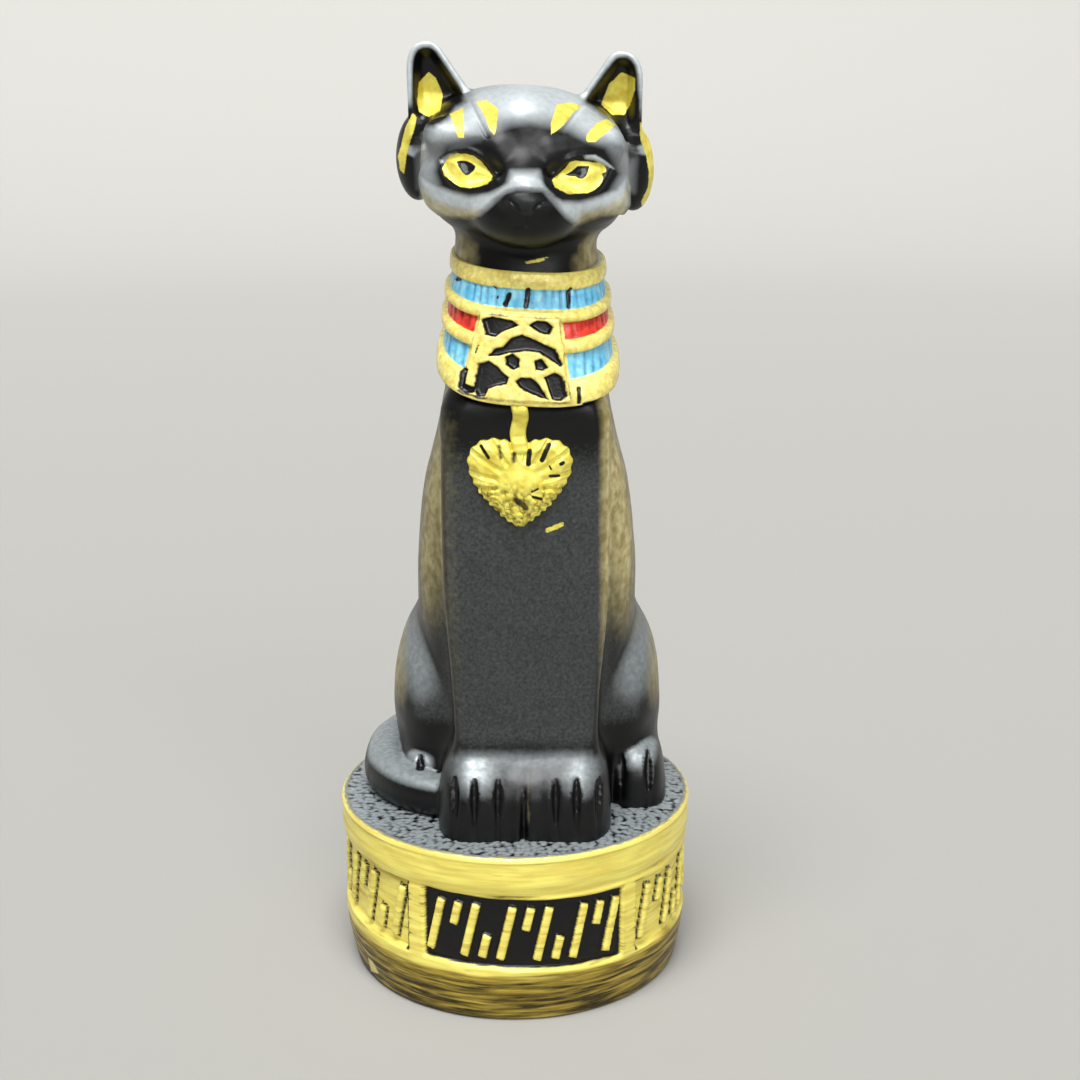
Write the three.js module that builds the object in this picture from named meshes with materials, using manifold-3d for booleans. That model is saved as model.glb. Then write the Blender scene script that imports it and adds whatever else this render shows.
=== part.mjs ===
// A seated Bastet cat on an oval drum, poured as one piece.
// Millimetres, +Z up. The origin lies under the middle of the drum, and the cat faces -Y.

import * as THREE from "three";
import { mergeVertices } from "three/addons/utils/BufferGeometryUtils.js";
import Module from "manifold-3d";

// Drum
const drumHalfWidth = 16.3;
const drumHalfDepth = 17.8;
const drumHeight = 15.7;
const drumSides = 48;
const rimEase = 0.6; // rounding of the top edge
const footEase = 0.4; // the lower edge is broken by this much
const beadWidth = 3.5; // proud band under the rim
const beadProud = 0.2;
const beadGroove = 0.3; // groove that parts the bead from the panels
const grooveDepth = 0.15;
const footBand = 5.1; // plain band under the panels
const footInset = 0.9; // how far the foot tapers in
const bandDrop = 0.035; // the panel band runs down to the cat's left by this much in each millimetre

// Panels round the drum
const panelCount = 5;
const panelTurn = 3.7; // degrees from the front to the middle of the first panel
const panelGap = 1.7; // upright bar between two panels
const panelMargin = 0.1; // ledge above and below each panel
const panelDepth = 0.55;
const strokeWidth = 0.75;
const strokeMargin = 0.8; // ground above and below a long stroke
const strokeSunk = 0.08; // the strokes stop this far below the drum's face
const strokeLean = 14; // degrees
const shortStroke = { height: 0.42, level: 0.27 }; // shares of a long stroke, by turns high and low

// Strokes on each panel, the front one first, and whether each second stroke is short.
// The front panel is the fullest, and those at the back are plain bars.
const panelMarks = [[11, true], [9, true], [6, false], [6, false], [9, true]];

// Cat, at the size it was sculpted: catHeight scales the whole animal
const catHeight = 67;
const catOffset = 1.1; // the cat sits to its left of the drum's middle, to leave room for the tail
const bury = 1.0; // how far feet, legs and tail run down into the drum
const crease = 0.05; // half the height of the step between two bands of the collar
const tidy = 0.012; // slivers left by the joins are cleaned up to this size

const head = {
  x: -0.05,
  y: -4.5,
  z: 57.6,
  droop: 0.05, // each millimetre to the cat's left lowers the head by this much
  sides: 38,
  rows: 26,
};
const neckSink = 1.6; // the neck ends this far below the middle of the skull
const neckTop = head.z - neckSink;

// Forms of the face in the head's own frame, its left half only: x across, y back, z up, and
// how softly each blends into the forms before it
const face = {
  skull: { at: [0, 0.4, 0.3], radii: [8.75, 8.0, 6.0], squareness: 2.25 },
  jaw: { at: [0, -1.2, -2.6], radii: [7.9, 7.0, 4.3], squareness: 2.2, blend: 1.6 },
  bridge: { from: [0, -4.9, 2.2], to: [0, -8.6, -1.9], radii: [2.8, 2.1], blend: 2.2 },
  cheek: { from: [1.4, -8.2, -2.2], to: [6.7, -4.6, -1.9], radii: [1.4, 1.9], blend: 1.2 },
  muzzle: { at: [0, -7.0, -4.2], radii: [4.0, 3.7, 2.5], blend: 0.9 },
  nose: { at: [0, -10.0, -2.9], radii: [1.8, 1.1, 0.95], blend: 0.6 },
  brow: { from: [2.2, -7.1, 1.0], to: [6.9, -5.0, 1.9], radii: [1.0, 1.3], blend: 1.2 },
  socket: { at: [4.5, -8.7, -0.7], radii: [2.8, 1.5, 1.3], blend: 0.5 },
};

const torso = {
  // height above the drum, half width, front, back
  stations: [
    [-bury, 9.0, -7.5, 11.6],
    [9, 9.4, -8.0, 12.4],
    [17.5, 10.0, -8.6, 11.6],
    [24, 9.8, -9.0, 10.4],
    [29.5, 9.15, -9.8, 9.0],
    [34.5, 7.9, -10.8, 7.7],
    [38.5, 7.1, -11.6, 6.5],
    [43, 6.7, -11.2, 5.1],
    [48.5, 6.2, -10.2, 3.6],
    [neckTop, 5.8, -9.0, 3.0],
  ],
  squareness: 2.35,
  sides: 32,
  rows: 20,
};

const legSlab = {
  // the flat front made by the chest and both forelegs: height, half width, front, and how
  // round its upright edges are
  stations: [
    [-bury, 6.7, -12.5, 2.2],
    [3.6, 6.75, -12.5, 2.2],
    [5.2, 6.6, -12.0, 1.9],
    [7, 6.3, -11.2, 1.5],
    [12.5, 6.45, -11.4, 1.4],
    [21.5, 7.05, -12.0, 1.4],
    [34.5, 7.15, -12.4, 1.6],
    [37.8, 7.0, -12.5, 2.2],
    [40.8, 5.4, -10.8, 2.4],
  ],
  back: -3,
  sides: 20,
  rows: 14,
};

const haunch = { side: 8.2, y: 3.9, z: 8.0, radii: [4.4, 8.6, 9.7], sides: 20, rows: 12 };

// A foot's middle on the drum, its half width, half length and height, and how square it is
const foreFoot = { left: -3.85, right: 3.5, y: -7.8, radii: [3.85, 6.5, 6.4], squareness: 3.4 };
const hindFoot = { x: 10.2, y: -0.6, radii: [2.7, 5.8, 5.6], squareness: 2.8 };
const tuckedFoot = { x: -8.7, y: -0.8, radii: [3.0, 5.0, 5.1], squareness: 3.2 }; // behind the tail
// where the slits between the toes lie, across from the middle of each foot
const feet = [
  { ...foreFoot, x: foreFoot.left, slits: [-2.3, -0.6, 1.45] },
  { ...foreFoot, x: foreFoot.right, slits: [-0.9, 0.9, 2.8] },
  { ...hindFoot, slits: [-1.55, 0.9] },
  { ...tuckedFoot, slits: [-1.0, 0.9] },
];
const footSides = 16;
const footRows = 8;
const toeSlit = { width: 0.8, root: 0.24, depth: 1.1, top: 5.6, bottom: 0.5 };

const tail = {
  radius: 2.35,
  rise: 0.87, // height of its middle line above the drum, as a share of the radius
  tip: 0.77, // share of the radius left at the tip
  path: [
    // its root is inside the rump
    [5.2, 8.2],
    [1.2, 12.0],
    [-5.6, 12.9],
    [-10.5, 10.6],
    [-12.8, 6.6],
    [-13.3, 2.2],
    [-12.9, -1.6],
    [-10.8, -5.4],
    [-7.6, -7.5],
    [-4.4, -8.2],
  ],
  sides: 10,
  steps: 26,
};

const collar = {
  middle: 0.2,
  top: 48.85, // height of the top rim at the front, above the drum
  depth: 10.7, // top rim to bottom edge at the front
  rise: 0.12, // each millimetre back lifts the collar by this much
  fall: 0.052, // and each millimetre to the cat's left lowers it by this much
  bow: 1.6, // the bottom edge curves up by this much towards the shoulders
  topHalfWidth: 6.4,
  topFront: -10.9,
  topBack: 4.2,
  bottomHalfWidth: 7.3,
  bottomFront: -13.2,
  bottomBack: 7.0,
  topSquareness: 2.4,
  bottomSquareness: 4.6,
  // depth of each band's lower edge below the top rim, and how far the band stands out
  bands: [
    [1.3, 0.3],
    [3.0, 0.0],
    [3.9, 0.35],
    [5.4, 0.05],
    [6.4, 0.4],
    [8.6, 0.1],
    [10.7, 0.45],
  ],
  sides: 32,
};

// The plate in front: its top and bottom are depths below the collar's rim
const plaque = {
  topMiddle: -0.4,
  bottomMiddle: -0.8,
  top: 3.5,
  bottom: 10.4,
  topHalf: 3.2,
  bottomHalf: 4.5,
  proud: 0.6,
  ridge: 0.3, // height of the raised lines on it
};

// Raised lines of the beetle on the plaque: width, then points as x and depth below the rim
const beetle = [
  [0.5, [[-3.2, 5.9], [-1.7, 4.8], [-0.3, 4.3], [0.9, 4.9], [3.0, 6.0]]],
  [0.5, [[-3.0, 7.0], [-1.8, 6.3], [-0.4, 6.15], [1.1, 6.4], [2.3, 7.2], [2.9, 8.0]]],
  [1.0, [[-0.4, 6.4], [0.15, 8.9]]],
  [0.6, [[-0.3, 8.4], [-1.7, 8.9], [-3.6, 10.0]]],
  [0.6, [[1.2, 8.1], [1.8, 9.0], [2.3, 9.8]]],
];

const pendant = {
  middle: -0.45,
  halfWidth: 4.35,
  top: 35.4,
  tip: 28.1,
  proud: 0.85,
  bevel: 0.35,
  strap: 1.0,
  bail: 1.6, // the strap overlaps the heart by this much
  flutes: 9, // grooves that spread up and out from the boss
  fluteWidth: 0.4,
  fluteDepth: 0.25,
};

const ear = {
  // outline seen from the front: both feet, the bend on the outer side, and the tip
  innerFoot: [4.5, 5.3],
  outerFoot: [9.75, 3.3],
  bend: [9.85, 7.0],
  tip: [8.05, 9.4],
  inward: 0.7, // the inner edge aims this far inside the tip
  ease: 0.15, // and curves over to it along this share of its length
  sink: 2.0, // the feet run down into the skull
  front: -1.0,
  footThickness: 4.2,
  tipThickness: 1.5,
  bevel: 0.22, // share of the thickness taken off each edge
  wall: 0.5, // edge left round the hollow
  hollow: 0.5, // depth of the hollow as a share of the thickness
  bowlRise: 1.0, // the hollow narrows to a point this far above the middle of the feet
};

const eye = {
  x: 4.45,
  y: -7.05,
  z: -0.75,
  tilt: 8, // degrees, the outer corner higher
  wrap: 0.3, // the outer corner lies this much further back for each millimetre out
  radii: [2.35, 0.95, 1.25],
  sides: 12,
  rows: 8,
};

// tufts behind the cheeks
const ruff = { side: 9.3, y: 3.6, z: -0.2, radii: [1.85, 2.6, 3.65], sides: 10, rows: 8 };

const wasm = await Module();
wasm.setup();

const degrees = Math.PI / 180;
const sculptedHeight = head.z + ear.tip[1];
const catScale = catHeight / sculptedHeight;
const meanRadius = (drumHalfWidth + drumHalfDepth) / 2;
const bandEdges = [footBand, drumHeight - beadWidth - beadGroove];

function smoothJoin(a, b, blend) {
  const h = Math.max(blend - Math.abs(a - b), 0) / blend;
  return Math.min(a, b) - h * h * blend / 4;
}

function smoothCut(a, b, blend) {
  return -smoothJoin(-a, b, blend);
}

// Reads a column of a station list at height z along a smooth curve
function along(stations, column, z) {
  const last = stations.length - 1;
  let i = 0;
  while (i < last - 1 && z > stations[i + 1][0]) i += 1;
  const at = (n) => stations[Math.min(Math.max(n, 0), last)];
  const slope = (n) => {
    const before = at(n - 1);
    const after = at(n + 1);
    return (after[column] - before[column]) / (after[0] - before[0]);
  };
  const span = at(i + 1)[0] - at(i)[0];
  const t = Math.min(Math.max((z - at(i)[0]) / span, 0), 1);
  const t2 = t * t;
  const t3 = t2 * t;
  return at(i)[column] * (2 * t3 - 3 * t2 + 1)
    + slope(i) * span * (t3 - 2 * t2 + t)
    + at(i + 1)[column] * (3 * t2 - 2 * t3)
    + slope(i + 1) * span * (t3 - t2);
}

// Distance to an ellipsoid, negative inside
function ellipsoid(p, { at, radii }) {
  const q = [0, 1, 2].map((i) => (p[i] - at[i]) / radii[i]);
  const reach = Math.hypot(...q);
  const steep = Math.hypot(...q.map((v, i) => v / radii[i]));
  return steep < 1e-9 ? -Math.min(...radii) : reach * (reach - 1) / steep;
}

// A closed surface: each point of the geometry is moved by place(x, y, z)
function shaped(geometry, place) {
  const shell = new THREE.BufferGeometry();
  shell.setAttribute("position", geometry.getAttribute("position").clone());
  shell.setIndex(geometry.index ? geometry.index.clone() : null);
  const points = shell.getAttribute("position");
  for (let i = 0; i < points.count; i += 1) {
    points.setXYZ(i, ...place(points.getX(i), points.getY(i), points.getZ(i)));
  }
  return solid(shell);
}

function solid(geometry) {
  const bare = geometry.clone();
  bare.deleteAttribute("normal");
  bare.deleteAttribute("uv");
  const welded = mergeVertices(bare, 1e-4);
  const vertProperties = new Float32Array(welded.getAttribute("position").array);
  const triVerts = new Uint32Array(welded.index.array);
  return new wasm.Manifold(new wasm.Mesh({ numProp: 3, vertProperties, triVerts }));
}

function joined(solids) {
  return solids.reduce((whole, piece) => whole.add(piece));
}

// An upright unit column: x and y on the unit circle, z from 0 to 1
function column(sides, rows) {
  return new THREE.CylinderGeometry(1, 1, 1, sides, rows).rotateX(Math.PI / 2).translate(0, 0, 0.5);
}

// Pushes the unit circle out to a rounded square of the given squareness
function squared(x, y, squareness) {
  const reach = Math.hypot(x, y);
  if (reach < 1e-9) return [0, 0];
  const c = x / reach;
  const s = y / reach;
  const out = (Math.abs(c) ** squareness + Math.abs(s) ** squareness) ** (-1 / squareness);
  return [c * out * reach, s * out * reach];
}

function torsoSolid() {
  const { stations, squareness, sides, rows } = torso;
  const low = stations[0][0];
  const high = stations[stations.length - 1][0];
  return shaped(column(sides, rows), (x, y, t) => {
    const z = low + (high - low) * t;
    const [u, v] = squared(x, y, squareness);
    const front = along(stations, 2, z);
    const back = along(stations, 3, z);
    return [u * along(stations, 1, z), (front + back) / 2 + v * (back - front) / 2, z];
  });
}

function slabSolid() {
  const { stations, back, sides, rows } = legSlab;
  const low = stations[0][0];
  const high = stations[stations.length - 1][0];
  return shaped(column(sides, rows), (x, y, t) => {
    const z = low + (high - low) * t;
    const half = along(stations, 1, z);
    const front = along(stations, 2, z);
    const edge = along(stations, 3, z);
    // corner circles, moved apart by the straight stretches between them
    const middle = 0.02;
    const u = x * edge + (Math.abs(x) < middle ? 0 : Math.sign(x) * (half - edge));
    const v = y * edge + (Math.abs(y) < middle ? 0 : Math.sign(y) * ((back - front) / 2 - edge));
    return [u, (front + back) / 2 + v, z];
  });
}

// A rounded block whose middle lies on the drum
function pad({ x, y, radii, squareness }) {
  const ball = new THREE.SphereGeometry(1, footSides, footRows).rotateX(Math.PI / 2);
  return shaped(ball, (u, v, w) => {
    const most = Math.abs(u) ** squareness + Math.abs(v) ** squareness + Math.abs(w) ** squareness;
    const out = most ** (-1 / squareness);
    return [x + u * out * radii[0], y + v * out * radii[1], Math.max(w * out * radii[2], -bury)];
  });
}

// A narrow wedge that parts two toes, widest where it opens to the front
function slit({ x, y, radii, squareness }, across) {
  const { width, root, depth, top, bottom } = toeSlit;
  const share = Math.abs(across / radii[0]) ** squareness;
  const front = y - radii[1] * (1 - share) ** (1 / squareness);
  const opening = 0.6; // how far the wedge starts in front of the toe
  const shape = new THREE.Shape([
    new THREE.Vector2(-width / 2, 0),
    new THREE.Vector2(width / 2, 0),
    new THREE.Vector2(root / 2, depth + opening),
    new THREE.Vector2(-root / 2, depth + opening),
  ]);
  const tall = top * radii[2] / foreFoot.radii[2] - bottom;
  const cut = new THREE.ExtrudeGeometry(shape, { depth: tall, bevelEnabled: false });
  return solid(cut.translate(x + across, front - opening, bottom));
}

function feetSolid() {
  const pads = feet.map(pad);
  const slits = feet.flatMap((foot) => foot.slits.map((across) => slit(foot, across)));
  return joined(pads).subtract(joined(slits));
}

function haunchSolid(side) {
  const { y, z, radii } = haunch;
  const ball = new THREE.SphereGeometry(1, haunch.sides, haunch.rows).rotateX(Math.PI / 2);
  return shaped(ball, (u, v, w) => [
    side * haunch.side + u * radii[0],
    y + v * radii[1],
    Math.max(z + w * radii[2], -bury),
  ]);
}

function tailSolid() {
  const points = tail.path.map(([x, y]) => new THREE.Vector3(x, y, 0));
  const curve = new THREE.CatmullRomCurve3(points);
  const frames = tail.steps;
  return shaped(column(tail.sides, frames), (x, y, t) => {
    const spot = curve.getPointAt(t);
    const ahead = curve.getTangentAt(t);
    const radius = tail.radius * (1 - (1 - tail.tip) * t);
    // the section stands square to the path: across it, and up
    return [spot.x - ahead.y * x * radius, spot.y + ahead.x * x * radius, (tail.rise + y) * radius];
  });
}

// The collar's surface: turn in radians from the front, drop below the top rim, and how far out
function collarPoint(turn, drop, out) {
  const share = drop / collar.depth;
  const mix = (a, b) => a + (b - a) * share;
  const half = mix(collar.topHalfWidth, collar.bottomHalfWidth) + out;
  const front = mix(collar.topFront, collar.bottomFront) - out;
  const back = mix(collar.topBack, collar.bottomBack) + out;
  // the collar is square in front, where it lies on the chest, and round behind
  const inFront = Math.cos(turn) > 0;
  const square = inFront ? mix(collar.topSquareness, collar.bottomSquareness) : collar.topSquareness;
  const [u, v] = squared(Math.sin(turn), -Math.cos(turn), square);
  const y = (front + back) / 2 + v * (back - front) / 2;
  const lift = collar.rise * (y - front) + collar.bow * share * Math.abs(u) ** 3;
  return [collar.middle + u * half, y, collar.top - drop + lift - collar.fall * u * half];
}

function collarSolid() {
  // each band is a straight step: its upper and lower edges stand out by the same amount
  const rows = [];
  let upper = 0;
  for (const [lower, out] of collar.bands) {
    rows.push([upper + crease, out], [lower - crease, out]);
    upper = lower;
  }
  return shaped(column(collar.sides, rows.length - 1), (x, y, t) => {
    const [drop, out] = rows[Math.round((1 - t) * (rows.length - 1))];
    const reach = Math.hypot(x, y);
    const point = collarPoint(Math.atan2(x, -y), drop, out);
    const core = [collar.middle, (collar.topFront + collar.topBack) / 2];
    return [core[0] + (point[0] - core[0]) * reach, core[1] + (point[1] - core[1]) * reach, point[2]];
  });
}

// The point on the collar's front that lies at x
function collarFront(x, drop, out) {
  let low = -Math.PI / 2;
  let high = Math.PI / 2;
  for (let i = 0; i < 30; i += 1) {
    const middle = (low + high) / 2;
    if (collarPoint(middle, drop, out)[0] < x) low = middle;
    else high = middle;
  }
  return collarPoint(low, drop, out);
}

function plaqueSolid() {
  return shaped(new THREE.BoxGeometry(1, 1, 1, 6, 1, 4), (u, v, w) => {
    const share = 0.5 - w;
    const drop = plaque.top + (plaque.bottom - plaque.top) * share;
    const half = plaque.topHalf + (plaque.bottomHalf - plaque.topHalf) * share;
    const middle = plaque.topMiddle + (plaque.bottomMiddle - plaque.topMiddle) * share;
    const x = middle + u * 2 * half;
    return collarFront(x, drop, v < 0 ? plaque.proud : -1);
  });
}

// A raised line on the plaque, flat on top, along points given as x and depth below the rim
function ridgeSolid([width, points]) {
  const path = new THREE.CatmullRomCurve3(points.map(([x, drop]) => new THREE.Vector3(x, -drop, 0)));
  const steps = (points.length - 1) * 2;
  const crest = 0.6; // share of the width that is left on top
  return shaped(new THREE.BoxGeometry(1, 1, 1, steps, 1, 1), (u, v, w) => {
    const spot = path.getPoint(u + 0.5);
    const ahead = path.getTangent(u + 0.5);
    const across = w * width * (v < 0 ? crest : 1);
    const out = plaque.proud + (v < 0 ? plaque.ridge : -plaque.ridge);
    return collarFront(spot.x - ahead.y * across, -(spot.y + ahead.x * across), out);
  });
}

// A heart with its tip down: the right half, then the left
function heartShape() {
  const { halfWidth, top, tip } = pendant;
  const height = top - tip;
  const notch = top - height * 0.12;
  const lobe = top + height * 0.1;
  const shoulder = top - height * 0.2;
  const flank = top - height * 0.5;
  const point = tip + height * 0.12;
  const shape = new THREE.Shape();
  shape.moveTo(0, notch);
  shape.bezierCurveTo(halfWidth * 0.1, top, halfWidth * 0.85, lobe, halfWidth, shoulder);
  shape.bezierCurveTo(halfWidth * 1.1, flank, halfWidth * 0.4, point, 0, tip);
  shape.bezierCurveTo(-halfWidth * 0.4, point, -halfWidth * 1.1, flank, -halfWidth, shoulder);
  shape.bezierCurveTo(-halfWidth * 0.85, lobe, -halfWidth * 0.1, top, 0, notch);
  return shape;
}

function pendantSolid() {
  const { middle, halfWidth, top, tip, proud, bevel, strap, bail } = pendant;
  const { flutes, fluteWidth, fluteDepth } = pendant;
  const plateDepth = 2;
  const plate = new THREE.ExtrudeGeometry(heartShape(), {
    depth: plateDepth,
    curveSegments: 6,
    bevelThickness: bevel,
    bevelSize: bevel,
    bevelOffset: -bevel,
    bevelSegments: 1,
  });
  // the drawing plane is stood up to look along -Y
  const face = along(legSlab.stations, 2, (top + tip) / 2) - proud;
  plate.rotateX(Math.PI / 2).translate(middle, face + bevel + plateDepth, 0);
  const boss = [middle, (top + tip) / 2];
  const grooves = [];
  for (let flute = 0; flute < flutes; flute += 1) {
    const turn = ((flute + 0.5) / flutes - 0.5) * Math.PI * 1.1;
    const groove = new THREE.BoxGeometry(fluteWidth, fluteDepth * 2, halfWidth);
    groove.translate(0, 0, halfWidth * 0.95).rotateY(turn).translate(boss[0], face, boss[1]);
    grooves.push(solid(groove));
  }
  const strapTop = collar.top - collar.depth + crease * 8;
  const strapDepth = 1.2;
  const band = new THREE.BoxGeometry(strap, strapDepth, strapTop - top + bail);
  const sunk = along(legSlab.stations, 2, top) + strapDepth / 6;
  band.translate(middle - strap / 10, sunk, (strapTop + top - bail) / 2);
  return solid(plate).subtract(joined(grooves)).add(solid(band));
}

// Distance to a limb that tapers between two rounded ends
function limb(p, { from, to, radii }) {
  const run = to.map((v, i) => v - from[i]);
  const off = p.map((v, i) => v - from[i]);
  const length2 = run.reduce((sum, v) => sum + v * v, 0);
  const t = Math.min(Math.max(run.reduce((sum, v, i) => sum + v * off[i], 0) / length2, 0), 1);
  return Math.hypot(...off.map((v, i) => v - run[i] * t)) - (radii[0] + (radii[1] - radii[0]) * t);
}

// An ellipsoid squared off in plan, so that the face is broad
function broad(p, { at, radii, squareness }) {
  const q = p.map((v, i) => Math.abs((v - at[i]) / radii[i]));
  const reach = (q[0] ** squareness + q[1] ** squareness + q[2] ** squareness) ** (1 / squareness);
  return (reach - 1) * Math.min(...radii);
}

// The head's surface in its own frame, negative inside
function headField(x, y, z) {
  const p = [Math.abs(x), y, z];
  const { skull, jaw, bridge, cheek, muzzle, nose, brow, socket } = face;
  let d = broad(p, skull);
  d = smoothJoin(d, broad(p, jaw), jaw.blend);
  d = smoothJoin(d, limb(p, bridge), bridge.blend);
  d = smoothJoin(d, limb(p, cheek), cheek.blend);
  d = smoothJoin(d, ellipsoid(p, muzzle), muzzle.blend);
  d = smoothJoin(d, ellipsoid(p, nose), nose.blend);
  d = smoothJoin(d, limb(p, brow), brow.blend);
  return smoothCut(d, ellipsoid(p, socket), socket.blend);
}

// From the head's own frame to the cat's
function toHead(x, y, z) {
  return [head.x + x, head.y + y, head.z + z - head.droop * x];
}

function headSolid() {
  const farthest = 14;
  const ball = new THREE.SphereGeometry(1, head.sides, head.rows).rotateX(Math.PI / 2);
  return shaped(ball, (x, y, z) => {
    // walk in along the ray until the surface is met, then halve the step
    let out = farthest;
    let step = 0.25;
    while (out > 1 && headField(x * out, y * out, z * out) > 0) out -= step;
    for (let i = 0; i < 12; i += 1) {
      step /= 2;
      out += headField(x * out, y * out, z * out) > 0 ? -step : step;
    }
    return toHead(x * out, y * out, z * out);
  });
}

// An almond: the ball is drawn out to a corner at each end
function eyeSolid(side) {
  const { sides, rows, radii, tilt } = eye;
  const ball = new THREE.SphereGeometry(1, sides, rows).rotateZ(Math.PI / 2);
  return shaped(ball, (u, v, w) => {
    const slim = Math.max(1 - u * u, 0) ** 0.25;
    const across = u * radii[0];
    const outward = side * across;
    const up = w * slim * radii[2] + outward * Math.tan(tilt * degrees);
    return toHead(side * eye.x + across, eye.y + v * radii[1] + outward * eye.wrap, eye.z + up);
  });
}

function ruffSolid(side) {
  const ball = new THREE.SphereGeometry(1, ruff.sides, ruff.rows).rotateX(Math.PI / 2);
  const { y, z, radii } = ruff;
  return shaped(ball, (u, v, w) => {
    const x = side * ruff.side + u * radii[0];
    return toHead(x, y + v * radii[1], z + w * radii[2]);
  });
}

// Front view of one ear, drawn in from its edge by inset
function earOutline(side, inset) {
  const { innerFoot, outerFoot, bend, tip, inward, ease, sink } = ear;
  const low = inset > 0 ? inset : -sink;
  const top = tip[1] - inset * 1.3;
  const bendX = side * (bend[0] - inset);
  const footX = side * (innerFoot[0] + inset * 1.2);
  const aimX = side * (tip[0] - inward);
  const easeX = aimX + (footX - aimX) * ease;
  const easeZ = top + (innerFoot[1] - top) * ease;
  const outline = new THREE.Shape();
  outline.moveTo(footX, innerFoot[1] + low);
  outline.lineTo(side * (outerFoot[0] - inset), outerFoot[1] + low);
  outline.lineTo(bendX, bend[1]);
  outline.quadraticCurveTo(bendX, top, side * tip[0], top);
  outline.quadraticCurveTo(aimX, top, easeX, easeZ);
  return outline;
}

function earSolid(side) {
  const { front, footThickness, tipThickness, bevel, wall, hollow, bowlRise } = ear;
  const { innerFoot, outerFoot, tip } = ear;
  const curveSegments = 3;
  const stand = new THREE.Matrix4().makeRotationX(Math.PI / 2);
  // both shapes are drawn one deep, then spread to the ear's thickness at each height
  const thickness = (z) => {
    const share = Math.min(Math.max((z - innerFoot[1]) / (tip[1] - innerFoot[1]), -0.3), 1);
    return footThickness + (tipThickness - footThickness) * share;
  };
  const plate = new THREE.ExtrudeGeometry(earOutline(side, 0), {
    depth: 1 - bevel * 2,
    curveSegments,
    bevelThickness: bevel,
    bevelSize: bevel * 2,
    bevelOffset: -bevel * 2,
    bevelSegments: 2,
  });
  plate.applyMatrix4(stand).translate(0, 1 - bevel, 0);
  const bowl = new THREE.ExtrudeGeometry(earOutline(side, wall), {
    depth: 1,
    curveSegments,
    bevelEnabled: false,
  });
  bowl.applyMatrix4(stand).translate(0, hollow, 0);
  const feetMiddle = [(innerFoot[0] + outerFoot[0]) / 2, (innerFoot[1] + outerFoot[1]) / 2];
  const middle = [side * feetMiddle[0], feetMiddle[1] + bowlRise];
  const carve = shaped(bowl, (x, y, z) => {
    // the hollow narrows to its floor, as a cupped ear does
    const share = Math.max(y, 0);
    const inX = x + (middle[0] - x) * share;
    const inZ = z + (middle[1] - z) * share;
    return toHead(inX, front + y * thickness(inZ), inZ);
  });
  return shaped(plate, (x, y, z) => toHead(x, front + y * thickness(z), z)).subtract(carve);
}

function catSolid() {
  const forms = [
    torsoSolid(),
    slabSolid(),
    haunchSolid(-1),
    haunchSolid(1),
    tailSolid(),
    collarSolid(),
    plaqueSolid(),
    ...beetle.map(ridgeSolid),
    pendantSolid(),
    headSolid(),
    eyeSolid(1),
    eyeSolid(-1),
    ruffSolid(-1),
    ruffSolid(1),
    earSolid(-1),
    earSolid(1),
    feetSolid(),
  ];
  return joined(forms);
}

// Half width of the drum at height z, before it is squeezed to an oval
function drumReach(z) {
  const taper = Math.min(Math.max((footBand - z) / footBand, 0), 1);
  return drumHalfWidth - beadProud - footInset * taper ** 1.5;
}

function drumPoint(turn, z, out) {
  const reach = drumReach(z) + out;
  const squash = drumHalfDepth / drumHalfWidth;
  return [Math.sin(turn) * reach, -Math.cos(turn) * reach * squash, z];
}

function drumBody() {
  const bandTop = drumHeight - beadWidth;
  const face = drumReach(bandTop);
  const profile = [
    [0, 0],
    [drumReach(0) - footEase, 0],
    [drumReach(footEase), footEase],
    [drumReach(footBand / 2), footBand / 2],
    [face, footBand],
    [face, bandTop - beadGroove],
    [face - grooveDepth, bandTop - beadGroove / 2],
    [face, bandTop],
    [drumHalfWidth, bandTop + beadWidth / 3],
    [drumHalfWidth, drumHeight - rimEase],
    [drumHalfWidth - rimEase / 3, drumHeight - rimEase / 3],
    [drumHalfWidth - rimEase, drumHeight],
    [0, drumHeight],
  ];
  const points = profile.map(([r, z]) => new THREE.Vector2(r, z));
  const body = new THREE.LatheGeometry(points, drumSides).rotateX(Math.PI / 2);
  body.scale(1, drumHalfDepth / drumHalfWidth, 1);
  return solid(body);
}

// A block wrapped on the drum, drawn flat about the middle of its face and leaning by some radians
function wrapped({ turn, z, width, height, lean, inner, outer, steps }) {
  const c = Math.cos(lean);
  const s = Math.sin(lean);
  return shaped(new THREE.BoxGeometry(1, 1, 1, steps, 1, 1), (u, v, w) => {
    const across = u * width * c + w * height * s;
    const up = -u * width * s + w * height * c;
    const angle = turn + across / meanRadius;
    const x = Math.sin(angle) * drumHalfWidth;
    return drumPoint(angle, z + up - bandDrop * x, v < 0 ? outer : inner);
  });
}

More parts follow.
